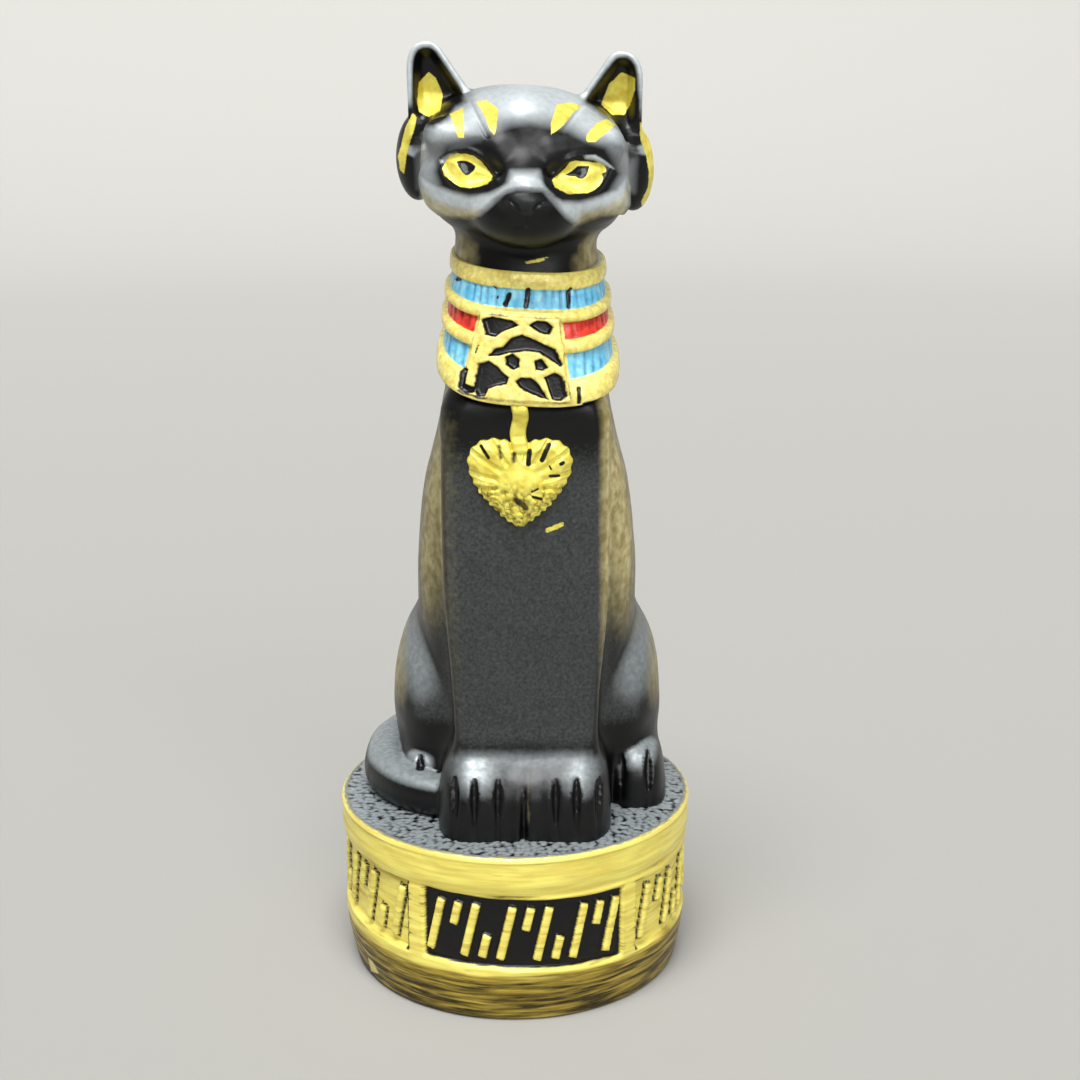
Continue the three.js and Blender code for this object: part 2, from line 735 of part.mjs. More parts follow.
// One panel: sunk ground with a row of leaning strokes
function panelForms(turn, marks, shorts) {
  const [low, high] = bandEdges;
  const middle = (low + high) / 2;
  const tall = high - low - panelMargin * 2;
  const long = tall - strokeMargin * 2;
  const wide = 2 * Math.PI * meanRadius / panelCount - panelGap;
  const block = { turn, z: middle, width: wide, height: tall, lean: 0 };
  const ground = wrapped({ ...block, inner: -panelDepth, outer: strokeSunk + beadProud, steps: 8 });
  const step = wide / (marks + 0.4);
  const lean = strokeLean * degrees;
  const strokes = [];
  for (let mark = 0; mark < marks; mark += 1) {
    const short = shorts && mark % 2 === 1;
    const up = mark % 4 === 1 ? 1 : -1;
    const level = short ? up * shortStroke.level * long : 0;
    const at = turn + ((mark - (marks - 1) / 2) * step + level * Math.tan(lean)) / meanRadius;
    const height = short ? long * shortStroke.height : long;
    const stroke = { turn: at, z: middle + level, width: strokeWidth, height, lean };
    strokes.push(wrapped({ ...stroke, inner: -panelDepth * 1.7, outer: -strokeSunk, steps: 1 }));
  }
  return { ground, strokes };
}

function drumSolid() {
  const panels = [];
  for (let panel = 0; panel < panelCount; panel += 1) {
    const turn = panelTurn * degrees + panel * 2 * Math.PI / panelCount;
    panels.push(panelForms(turn, ...panelMarks[panel % panelMarks.length]));
  }
  const grounds = joined(panels.map((panel) => panel.ground));
  const strokes = joined(panels.flatMap((panel) => panel.strokes));
  return drumBody().subtract(grounds).add(strokes);
}

const toDrum = new THREE.Matrix4().makeScale(catScale, catScale, catScale);
toDrum.setPosition(catOffset, 0, drumHeight);
const cat = catSolid().transform(toDrum.toArray());
const figure = cat.add(drumSolid()).asOriginal().simplify(tidy);

const cast = figure.getMesh();
const geometry = new THREE.BufferGeometry();
geometry.setAttribute("position", new THREE.BufferAttribute(new Float32Array(cast.vertProperties), 3));
geometry.setIndex(new THREE.BufferAttribute(new Uint32Array(cast.triVerts), 1));
geometry.computeVertexNormals();

const satinBlack = new THREE.MeshStandardMaterial({ color: "#1e2022", roughness: 0.45, metalness: 0.1 });
const piece = new THREE.Mesh(geometry, satinBlack);
piece.name = "bastet_cat_figure";

const group = new THREE.Group();
group.add(piece);

export default group;
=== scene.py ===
# A souvenir figure of a seated Bastet cat on an oval drum: poured resin, painted by hand.
# Shapes are worked out in millimetres in the part's own frame, with x across, y back and z up,
# and turned to metres when a mesh is made.

import bpy
import numpy as np
import openvdb
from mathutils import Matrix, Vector


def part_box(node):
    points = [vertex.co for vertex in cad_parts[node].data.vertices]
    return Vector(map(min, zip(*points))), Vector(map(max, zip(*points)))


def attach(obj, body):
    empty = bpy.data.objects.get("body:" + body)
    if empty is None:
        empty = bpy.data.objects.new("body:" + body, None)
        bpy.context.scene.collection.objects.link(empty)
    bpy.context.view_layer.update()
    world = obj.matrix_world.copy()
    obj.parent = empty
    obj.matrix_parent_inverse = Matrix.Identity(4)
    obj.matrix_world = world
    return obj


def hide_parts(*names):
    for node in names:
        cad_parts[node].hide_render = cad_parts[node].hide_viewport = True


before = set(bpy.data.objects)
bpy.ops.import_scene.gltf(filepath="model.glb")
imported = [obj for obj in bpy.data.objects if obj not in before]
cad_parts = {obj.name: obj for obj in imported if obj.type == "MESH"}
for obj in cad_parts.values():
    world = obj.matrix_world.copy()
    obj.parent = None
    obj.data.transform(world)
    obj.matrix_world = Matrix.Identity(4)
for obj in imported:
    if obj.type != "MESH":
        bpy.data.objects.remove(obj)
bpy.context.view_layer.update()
mm = 0.001
figureNode = "bastet_cat_figure"
cadLow, cadHigh = (np.array(corner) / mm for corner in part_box(figureNode))
print("frame loaded, figure", np.round(cadHigh - cadLow, 2), "mm")

# The photograph: lens and film in mm, the camera level across and looking down by pitch degrees
shot = {
    "pixels": 1080,
    "lens": 60.0,
    "film": 36.0,
    "pitch": 13.5,
    "eye": (2.32, -160.0, 77.7),
    "pixelsPerMm": 12.2,  # on the figure's front
}

# The cat's own frame stands on the drum's top, a little to one side
cat = {"offset": 1.1, "floor": 15.7}
standing = np.array([cat["offset"], 0, cat["floor"]])
farAway = 9.0  # mm, further from a mark than its paint reaches

detail = 1.0


def smoothJoin(a, b, blend):
    h = np.maximum(blend - np.abs(a - b), 0) / blend
    return np.minimum(a, b) - h * h * blend / 4


def smoothCut(a, b, blend):
    return -smoothJoin(-a, b, blend)


def ramp(value, start, end):
    t = np.clip((value - start) / (end - start), 0, 1)
    return t * t * (3 - 2 * t)


def along(stations, column, z):
    # reads a column of a station list at height z along a smooth curve
    table = np.array(stations, float)
    knots, values = table[:, 0], table[:, column]
    spots = np.arange(len(knots))
    before, after = np.maximum(spots - 1, 0), np.minimum(spots + 1, len(knots) - 1)
    slopes = (values[after] - values[before]) / (knots[after] - knots[before])
    i = np.clip(np.searchsorted(knots, z) - 1, 0, len(knots) - 2)
    span = knots[i + 1] - knots[i]
    t = np.clip((z - knots[i]) / span, 0, 1)
    start = values[i] * (2 * t**3 - 3 * t**2 + 1) + slopes[i] * span * (t**3 - 2 * t**2 + t)
    end = values[i + 1] * (3 * t**2 - 2 * t**3) + slopes[i + 1] * span * (t**3 - t**2)
    return start + end


def powerSum(power, *terms):
    return sum(np.abs(term) ** power for term in terms) ** (1 / power)


def ellipsoidField(x, y, z, at, radii):
    q = [(value - middle) / radius for value, middle, radius in zip((x, y, z), at, radii)]
    reach = powerSum(2, *q)
    steep = powerSum(2, *[value / radius for value, radius in zip(q, radii)])
    return reach * (reach - 1) / np.maximum(steep, 1e-6)


def broadField(x, y, z, at, radii, squareness):
    q = [(value - middle) / radius for value, middle, radius in zip((x, y, z), at, radii)]
    return (powerSum(squareness, *q) - 1) * min(radii)


def limbField(x, y, z, start, end, radii):
    # a limb that tapers between two rounded ends
    run = np.subtract(end, start)
    off = [value - first for value, first in zip((x, y, z), start)]
    t = np.clip(sum(o * r for o, r in zip(off, run)) / (run @ run), 0, 1)
    distance = powerSum(2, *[o - r * t for o, r in zip(off, run)])
    return distance - (radii[0] + (radii[1] - radii[0]) * t)


def loftField(x, y, z, stations, squareness):
    half, front, back = (along(stations, column, z) for column in (1, 2, 3))
    depth = (back - front) / 2
    q = powerSum(squareness, x / half, (y - (front + back) / 2) / depth)
    return (q - 1) * np.minimum(half, depth)


lattice = np.random.default_rng(11).random((4, 24, 24, 24))


def grain(x, y, z, size, sort=0):
    # smooth random values from -1 to 1, about one lump in each size, of one of four sorts
    spots = [np.asarray(value, float) / size for value in (x, y, z)]
    cells = [np.floor(spot).astype(int) for spot in spots]
    shares = [spot - cell for spot, cell in zip(spots, cells)]
    shares = [t * t * (3 - 2 * t) for t in shares]
    total = 0
    for step in np.ndindex(2, 2, 2):
        weight = 1
        for side, share in zip(step, shares):
            weight = weight * (share if side else 1 - share)
        corner = tuple((cell + side) % lattice.shape[1] for cell, side in zip(cells, step))
        total = total + weight * lattice[sort][corner]
    return 2 * total - 1


def photoSpot(x, y, z):
    # the pixel of the photograph that a point of the figure falls on
    pitch = np.radians(shot["pitch"])
    focal = shot["pixels"] * shot["lens"] / shot["film"]
    across, back, up = (value - eye for value, eye in zip((x, y, z), shot["eye"]))
    ahead = back * np.cos(pitch) - up * np.sin(pitch)
    above = back * np.sin(pitch) + up * np.cos(pitch)
    return shot["pixels"] / 2 + focal * across / ahead, shot["pixels"] / 2 - focal * above / ahead


def segmentDistance(u, v, start, end):
    # distance to a straight stretch, and how far along it the nearest point lies, from 0 to 1
    (ax, ay), (bx, by) = start, end
    ex, ey = bx - ax, by - ay
    t = np.clip(((u - ax) * ex + (v - ay) * ey) / (ex * ex + ey * ey), 0, 1)
    return np.hypot(u - ax - ex * t, v - ay - ey * t), t


def outlineDistance(u, v, points):
    # distance to a closed outline, negative inside
    nearest = np.full(np.broadcast(u, v).shape, 1e9)
    inside = np.zeros(nearest.shape, bool)
    for start, end in zip(points, points[1:] + points[:1]):
        nearest = np.minimum(nearest, segmentDistance(u, v, start, end)[0])
        (ax, ay), (bx, by) = start, end
        crossing = (ay > v) != (by > v)
        inside ^= crossing & (u < ax + (bx - ax) * (v - ay) / (by - ay if by != ay else 1e-9))
    return np.where(inside, -nearest, nearest)


def lineDistance(u, v, points):
    return np.min([segmentDistance(u, v, *ends)[0] for ends in zip(points, points[1:])], 0)


def markDistance(u, v, outlines, scale=shot["pixelsPerMm"]):
    # distance in mm to the nearest of several outlines in pixels of the photograph
    return np.min([outlineDistance(u, v, outline) for outline in outlines], 0) / scale


def strokeDistance(u, v, strokes, scale=shot["pixelsPerMm"]):
    # the same for strokes, each with its points and its width in pixels
    return np.min([lineDistance(u, v, points) - width / 2 for points, width in strokes], 0) / scale


def brushed(u, v, marks, where):
    # distance in mm to the nearest of the named marks, where the brush could reach
    return np.where(where, markDistance(u, v, list(marks.values())), farAway)


def veil(share):
    # a mask whose layer covers by this share, and keeps clear of the noise where there is none
    return 0.5 - share + 0.07 * ramp(share, 0.3, 0.0)


def castSkin(field, low, high, step):
    # fills a box with the field's values and wraps a skin round what is inside
    step = step * detail
    axes = [np.arange(first, last + step, step) for first, last in zip(low, high)]
    block = np.empty([len(axis) for axis in axes], np.float32)
    layers = 8
    for i in range(0, len(axes[0]), layers):
        x = axes[0][i:i + layers, None, None]
        block[i:i + layers] = field(x, axes[1][None, :, None], axes[2][None, None, :])
    for axis in range(3):
        edge = np.moveaxis(block, axis, 0)
        edge[0] = np.maximum(edge[0], step / 2)
        edge[-1] = np.maximum(edge[-1], step / 2)
    grid = openvdb.FloatGrid(1.0)
    grid.copyFromArray(block)
    points, triangles, quads = grid.convertToPolygons(isovalue=0.0, adaptivity=0.0)
    points = points.astype(float) * step + np.array(low)
    # settle each point on the exact surface
    small = step / 4
    for _ in range(2):
        here = field(*points.T)
        slope = np.stack([field(*(points + small * axis).T) - here for axis in np.eye(3)], 1) / small
        steep = (slope**2).sum(1)
        move = np.clip(here / np.maximum(steep, 0.1), -step / 2, step / 2)
        points = points - slope * move[:, None]
    normals = slope / np.sqrt(np.maximum(steep, 1e-9))[:, None]
    return points, normals, quads, triangles


def addPiece(name, points, quads, triangles, masks, material):
    # a closed mesh from points in mm, with its paint masks, riding on the figure
    corners = np.concatenate([np.ravel(quads), np.ravel(triangles)]).astype(np.int32)
    sizes = np.concatenate([np.full(len(quads), 4), np.full(len(triangles), 3)])
    mesh = bpy.data.meshes.new(name)
    mesh.vertices.add(len(points))
    mesh.vertices.foreach_set("co", (points * mm).astype(np.float32).ravel())
    mesh.loops.add(len(corners))
    mesh.loops.foreach_set("vertex_index", corners)
    mesh.polygons.add(len(sizes))
    mesh.polygons.foreach_set("loop_start", (np.cumsum(sizes) - sizes).astype(np.int32))
    mesh.update(calc_edges=True)
    mesh.validate()
    mesh.shade_smooth()
    for mask, values in masks.items():
        layer = mesh.attributes.new(mask, "FLOAT", "POINT")
        layer.data.foreach_set("value", np.asarray(values, np.float32))
    mesh.materials.append(material)
    piece = bpy.data.objects.new(name, mesh)
    bpy.context.scene.collection.objects.link(piece)
    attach(piece, "root")
    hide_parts(figureNode)
    faces = int((sizes - 2).sum())
    print(f"{name}: {faces} triangles")


# Finishes

def linear(code):
    # an sRGB hex colour as linear values
    parts = [int(code[i:i + 2], 16) / 255 for i in (1, 3, 5)]
    return [p / 12.92 if p <= 0.04045 else ((p + 0.055) / 1.055) ** 2.4 for p in parts] + [1.0]


def addNode(tree, kind, links=None, **settings):
    node = tree.nodes.new(kind)
    for name, value in settings.items():
        setattr(node, name, value)
    for socket, value in (links or {}).items():
        if isinstance(value, bpy.types.NodeSocket):
            tree.links.new(value, node.inputs[socket])
        else:
            node.inputs[socket].default_value = value
    return node


# Each finish: main colour, colour of its patches, size of a patch in mm, how metallic, and how
# rough the main part and the patches are
finishNames = ("color", "patches", "patch", "metallic", "rough")
finishValues = {
    # cast polyresin sprayed satin black: deep, with a soft wide sheen over the forms
    "satinBlack": ("#040505", "#070808", 1.6, 0.0, (0.34, 0.42)),
    # painted highlight: pale silver standing for the light on the black, soft and pale where it gathers
    "highlightSilver": ("#cfd6d8", "#bdc5c8", 0.5, 0.3, (0.38, 0.48)),
    # the same painted highlight, thinner, on the body and the drum's top; on the feet and the tail it is
    # partly silver dry-brush too
    "thinHighlightSilver": ("#a6adaf", "#8f979a", 0.5, 0.4, (0.38, 0.48)),
    # the same silver where it only dusts the black: fine pale specks, and a painted sheen over the chest's
    # front
    "silverDustAndSheen": ("#8d9492", "#6c7371", 0.3, 0.2, (0.45, 0.55)),
    # bronze powder rubbed on with a finger: a pale warm veil
    "bronzePowder": ("#dccf98", "#a8985c", 0.9, 0.55, (0.36, 0.46)),
    # the collar's gold: pale and creamy on its ridges, and painted paler than the other gold as painted light
    # where the head shades it
    "paleGold": ("#fff488", "#f3dc60", 0.8, 0.15, (0.34, 0.44)),
    # gold acrylic laid on by brush: lemon bright and full where it is thick
    "goldAcrylic": ("#f8ee72", "#e0cc4c", 0.8, 0.25, (0.33, 0.43)),
    # the same gold in long strokes round the drum, and darker over its foot
    "brushedGold": ("#fdf07c", "#e6d262", 6.0, 0.25, (0.33, 0.43)),
    "footGold": ("#c9b04a", "#7a6626", 4.0, 0.4, (0.38, 0.48)),
    # brown gold with the black showing through: where it hardly covers in the drum's streaks, and as painted
    # shade in the hollows and round the edges of the collar's plaque and the heart
    "thinGoldAndShade": ("#54471b", "#241e0d", 0.6, 0.3, (0.4, 0.5)),
    # turquoise enamel flowed into the cells: glossy, and deeper in the grooves
    "turquoiseEnamel": ("#9ae8fc", "#5cc4ee", 1.0, 0.0, (0.25, 0.35)),
    "deepTurquoise": ("#2c83ba", "#1d689c", 0.4, 0.0, (0.3, 0.35)),
    # red enamel in the smaller cells
    "redEnamel": ("#ee4a34", "#c42a22", 0.5, 0.0, (0.25, 0.35)),
    "deepRed": ("#8c1416", "#6f0e12", 0.4, 0.0, (0.3, 0.35)),
    # gloss black run into hollows with a fine brush, and the same black laid as painted shade
    "inkAndShadeBlack": ("#070608", "#0d0c0f", 0.7, 0.0, (0.28, 0.36)),
    # painted highlight: a grey glint on the black of each pupil
    "glintGrey": ("#6f7478", "#565b60", 0.5, 0.0, (0.3, 0.4)),
    # bare resin in chips
    "bareResin": ("#efe2a0", "#d3bf72", 0.4, 0.0, (0.5, 0.6)),
}
finishes = {name: dict(zip(finishNames, values)) for name, values in finishValues.items()}


def finishSockets(tree, spot, name):
    # a finish's colour, metallic and roughness, mixed in patches by noise
    finish = finishes[name]
    smooth, coarse = finish["rough"]
    noiseSettings = {"Vector": spot, "Scale": 1 / (finish["patch"] * mm), "Detail": 3.0}
    noise = addNode(tree, "ShaderNodeTexNoise", noiseSettings).outputs[0]
    limits = {"Value": noise, "From Min": 0.35, "From Max": 0.65}
    share = addNode(tree, "ShaderNodeMapRange", limits).outputs[0]
    colors = {0: share, 6: linear(finish["patches"]), 7: linear(finish["color"])}
    color = addNode(tree, "ShaderNodeMix", colors, data_type="RGBA").outputs[2]
    rough = addNode(tree, "ShaderNodeMix", {0: share, 2: coarse, 3: smooth}).outputs[0]
    return color, finish["metallic"], rough


def paintedMaterial(name, ground, layers, tooth, stretch=(1, 1, 1), coat=0.0):
    # ground finish and, over it, layers of paint: each is (mask, finish, soft edge, wobble, its size)
    material = bpy.data.materials.new(name)
    material.use_nodes = True
    tree = material.node_tree
    tree.nodes.clear()
    place = addNode(tree, "ShaderNodeTexCoord").outputs["Object"]
    spot = addNode(tree, "ShaderNodeMapping", {"Vector": place, "Scale": stretch}).outputs[0]
    color, metallic, rough = finishSockets(tree, spot, ground)
    for mask, finish, soft, wobble, size in layers:
        depth = addNode(tree, "ShaderNodeAttribute", attribute_name=mask).outputs["Fac"]
        noiseSettings = {"Vector": spot, "Scale": 1 / (size * mm), "Detail": 4.0}
        noise = addNode(tree, "ShaderNodeTexNoise", noiseSettings).outputs[0]
        shift = addNode(tree, "ShaderNodeMath", {0: noise, 1: -0.5}, operation="ADD").outputs[0]
        scaled = {0: shift, 1: 2 * wobble, 2: depth}
        edge = addNode(tree, "ShaderNodeMath", scaled, operation="MULTIPLY_ADD").outputs[0]
        limits = {"Value": edge, "From Min": -soft, "From Max": soft, "To Min": 1.0, "To Max": 0.0}
        share = addNode(tree, "ShaderNodeMapRange", limits).outputs[0]
        over = finishSockets(tree, spot, finish)
        color = addNode(tree, "ShaderNodeMix", {0: share, 6: color, 7: over[0]}, data_type="RGBA").outputs[2]
        metallic = addNode(tree, "ShaderNodeMix", {0: share, 2: metallic, 3: over[1]}).outputs[0]
        rough = addNode(tree, "ShaderNodeMix", {0: share, 2: rough, 3: over[2]}).outputs[0]
    fineSettings = {"Vector": place, "Scale": 1 / (tooth["size"] * mm), "Detail": 2.0}
    fine = addNode(tree, "ShaderNodeTexNoise", fineSettings).outputs[0]
    bump = {"Height": fine, "Distance": tooth["depth"] * mm, "Strength": tooth["strength"]}
    normal = addNode(tree, "ShaderNodeBump", bump).outputs[0]
    shader = {"Base Color": color, "Metallic": metallic, "Roughness": rough, "Normal": normal}
    shader |= {"IOR": 1.45, "Specular IOR Level": 0.38, "Coat Weight": coat}
    surface = addNode(tree, "ShaderNodeBsdfPrincipled", shader).outputs[0]
    addNode(tree, "ShaderNodeOutputMaterial", {"Surface": surface})
    return material


# Body: torso, the flat slab of chest and forelegs, haunches, feet and tail

body = {
    # height above the drum, half width, front, back
    "torso": [
        (-1, 9.0, -7.5, 11.6),
        (9, 9.4, -8.0, 12.4),
        (17.5, 10.0, -8.6, 11.6),
        (24, 9.8, -9.0, 10.4),
        (29.5, 9.15, -9.8, 9.0),
        (34.5, 7.9, -10.8, 7.7),
        (38.5, 7.1, -11.6, 6.5),
        (43, 6.7, -11.2, 5.1),
        (48.5, 6.2, -10.2, 3.6),
        (56, 5.8, -9.0, 3.0),
    ],
    "torsoSquareness": 2.35,
    # height, half width, front, and how round the upright edges are
    "slab": [
        (-1, 6.7, -12.5, 2.2),
        (3.6, 6.75, -12.5, 2.2),
        (5.2, 6.6, -12.0, 1.9),
        (7, 6.3, -11.2, 1.5),
        (12.5, 6.45, -11.4, 1.4),
        (21.5, 7.05, -12.0, 1.4),
        (34.5, 7.15, -12.4, 1.6),
        (37.8, 7.0, -12.5, 2.2),
        (40.8, 5.4, -10.8, 2.4),
    ],
    "slabBack": -3.0,
    "haunch": {"at": (8.2, 3.9, 8.0), "radii": (4.4, 8.6, 9.7)},
    "low": (-16.4, -14.6, -1.0),
    "high": (13.6, 15.9, 46.5),
    "step": 0.27,
}

# Each foot: its middle, half width, half length, height, squareness, and where the toes part
footNames = ("x", "y", "half", "length", "height", "squareness", "slits")
footValues = [
    (-3.85, -7.8, 3.85, 6.5, 6.4, 3.4, (-2.3, -0.6, 1.45)),
    (3.5, -7.8, 3.85, 6.5, 6.4, 3.4, (-0.9, 0.9, 2.8)),
    (10.2, -0.6, 2.7, 5.8, 5.6, 2.8, (-1.55, 0.9)),
    (-8.7, -0.8, 3.0, 5.0, 5.1, 3.2, (-1.0, 0.9)),
]
feet = [dict(zip(footNames, values)) for values in footValues]
# the slit between two toes: its half width, the shares of the foot's height where it is widest and
# where it ends, how narrow its lower part is, and how deep it is for its width
toe = {"wide": 0.38, "widest": 0.66, "end": 0.87, "thin": 0.12, "deep": 1.6}
web = {"at": (-0.17, -7.8, 0), "radii": (1.6, 6.2, 5.6), "squareness": 3.4}  # between the forepaws
parting = {"x": -0.17, "front": -14.2, "top": 6.2, "wide": 0.26}

tail = {
    "path": [
        (5.2, 8.2),
        (1.2, 12.0),
        (-5.6, 12.9),
        (-10.5, 10.6),
        (-12.8, 6.6),
        (-13.3, 2.2),
        (-12.9, -1.6),
        (-10.8, -5.4),
        (-7.6, -7.5),
        (-4.4, -8.2),
    ],
    "radius": 2.35,
    "rise": 0.87,
    "tip": 0.77,
    "squareness": 2.3,
    "steps": 6,
}


def tailLine():
    # points along the tail's middle, each with the radius there
    path = np.array(tail["path"])
    ends = np.concatenate([[2 * path[0] - path[1]], path, [2 * path[-1] - path[-2]]])
    line = []
    for i in range(len(path) - 1):
        a, b, c, d = ends[i:i + 4]
        for t in np.arange(tail["steps"]) / tail["steps"]:
            bend = 2 * b + (c - a) * t + (2 * a - 5 * b + 4 * c - d) * t**2 + (3 * b - 3 * c + d - a) * t**3
            line.append(bend / 2)
    line.append(path[-1])
    shares = np.linspace(0, 1, len(line))
    return np.array(line), tail["radius"] * (1 - (1 - tail["tip"]) * shares)


tailPoints, tailRadii = tailLine()


def tailField(x, y, z):
    across = np.full(np.broadcast(x, y).shape, 1e6)
    radius = np.zeros(across.shape)
    for i in range(len(tailPoints) - 1):
        away, t = segmentDistance(x, y, *tailPoints[i:i + 2])
        closer = away < across
        across = np.where(closer, away, across)
        radius = np.where(closer, tailRadii[i] + (tailRadii[i + 1] - tailRadii[i]) * t, radius)
    return powerSum(tail["squareness"], across, z - tail["rise"] * radius) - radius


def toeFront(z, foot, across):
    # how far forward the foot reaches at height z, on the line of a slit
    power = foot["squareness"]
    left = 1 - abs(across / foot["half"]) ** power - np.abs(np.maximum(z, 0) / foot["height"]) ** power
    return foot["y"] - foot["length"] * np.maximum(left, 0.02) ** (1 / power)


def slitWidth(z, height):
    low, widest, end = 0.3, toe["widest"] * height, toe["end"] * height
    lower = toe["thin"] + (toe["wide"] - toe["thin"]) * ramp(z, low, widest)
    return lower * np.sqrt(np.clip((end - z) / (end - widest), 0, 1))


def footField(x, y, z, foot):
    radii = (foot["half"], foot["length"], foot["height"])
    distance = broadField(x, y, z, (foot["x"], foot["y"], 0), radii, foot["squareness"])
    for across in foot["slits"]:
        off = np.hypot(x - foot["x"] - across, (y - toeFront(z, foot, across)) / toe["deep"])
        distance = smoothCut(distance, off - slitWidth(z, foot["height"]), 0.12)
    return distance


def slabField(x, y, z):
    half, front, edge = (along(body["slab"], column, z) for column in (1, 2, 3))
    depth = (body["slabBack"] - front) / 2
    across = np.abs(x) - (half - edge)
    through = np.abs(y - front - depth) - (depth - edge)
    outer = np.hypot(np.maximum(across, 0), np.maximum(through, 0))
    return np.maximum(outer + np.minimum(np.maximum(across, through), 0) - edge, z - body["slab"][-1][0])


def bodyField(x, y, z):
    distance = loftField(x, y, z, body["torso"], body["torsoSquareness"])
    for side in (-1, 1):
        hx, hy, hz = body["haunch"]["at"]
        haunch = ellipsoidField(x, y, z, (side * hx, hy, hz), body["haunch"]["radii"])
        distance = smoothJoin(distance, haunch, 1.3)
    distance = smoothJoin(distance, slabField(x, y, z), 0.5)
    for foot in feet:
        blend = 1.7 if foot["y"] < -5 else 0.7  # the forepaws run into the legs more softly
        distance = smoothJoin(distance, footField(x, y, z, foot), blend)
    distance = smoothJoin(distance, broadField(x, y, z, **web), 0.5)
    between = (x - parting["x"], (y - parting["front"]) / 3, z)
    groove = limbField(*between, (0, 0, 0), (0, 0, parting["top"]), (parting["wide"], parting["wide"] / 3))
    distance = smoothCut(distance, groove, 0.3)
    return smoothJoin(distance, tailField(x, y, z), 0.35)


# Powder, painted highlight and painted sheen on the body. A pair is where a patch starts to show and
# where it is full: a height above the drum or a distance from the middle in mm, or how far the surface is
# turned
powder = {
    "sweep": 6.0,
    "flankTurn": (0.35, 0.75),
    "flankRise": (13, 25),
    "flankHighlightAim": -0.4,
    "flankHighlightSpread": 0.3,
    "edgeTop": (39, 36),
    "edgeFoot": (6.5, 10),
    "haunchLit": (0.58, 1.04),
    "haunchOut": (6.6, 8.0),
    "haunchFoot": (7.5, 11),
    "haunchTop": (21, 18.5),
    "rimOut": (10.4, 12.1),
    "rimFoot": (6.5, 11),
    "rimTop": (19, 15),
    "dustAndSheenTop": (37, 31),
    "dustAndSheenFoot": (6.5, 9),
    # where the forepaws catch the light, in pixels of the photograph: middle and width
    "shine": [(474, 17), (584, 15)],
}

# a stray dash of gold on the chest, in pixels of the photograph, with its width
strayDashes = [([(547, 530.5), (556, 527), (562, 524)], 4.6)]


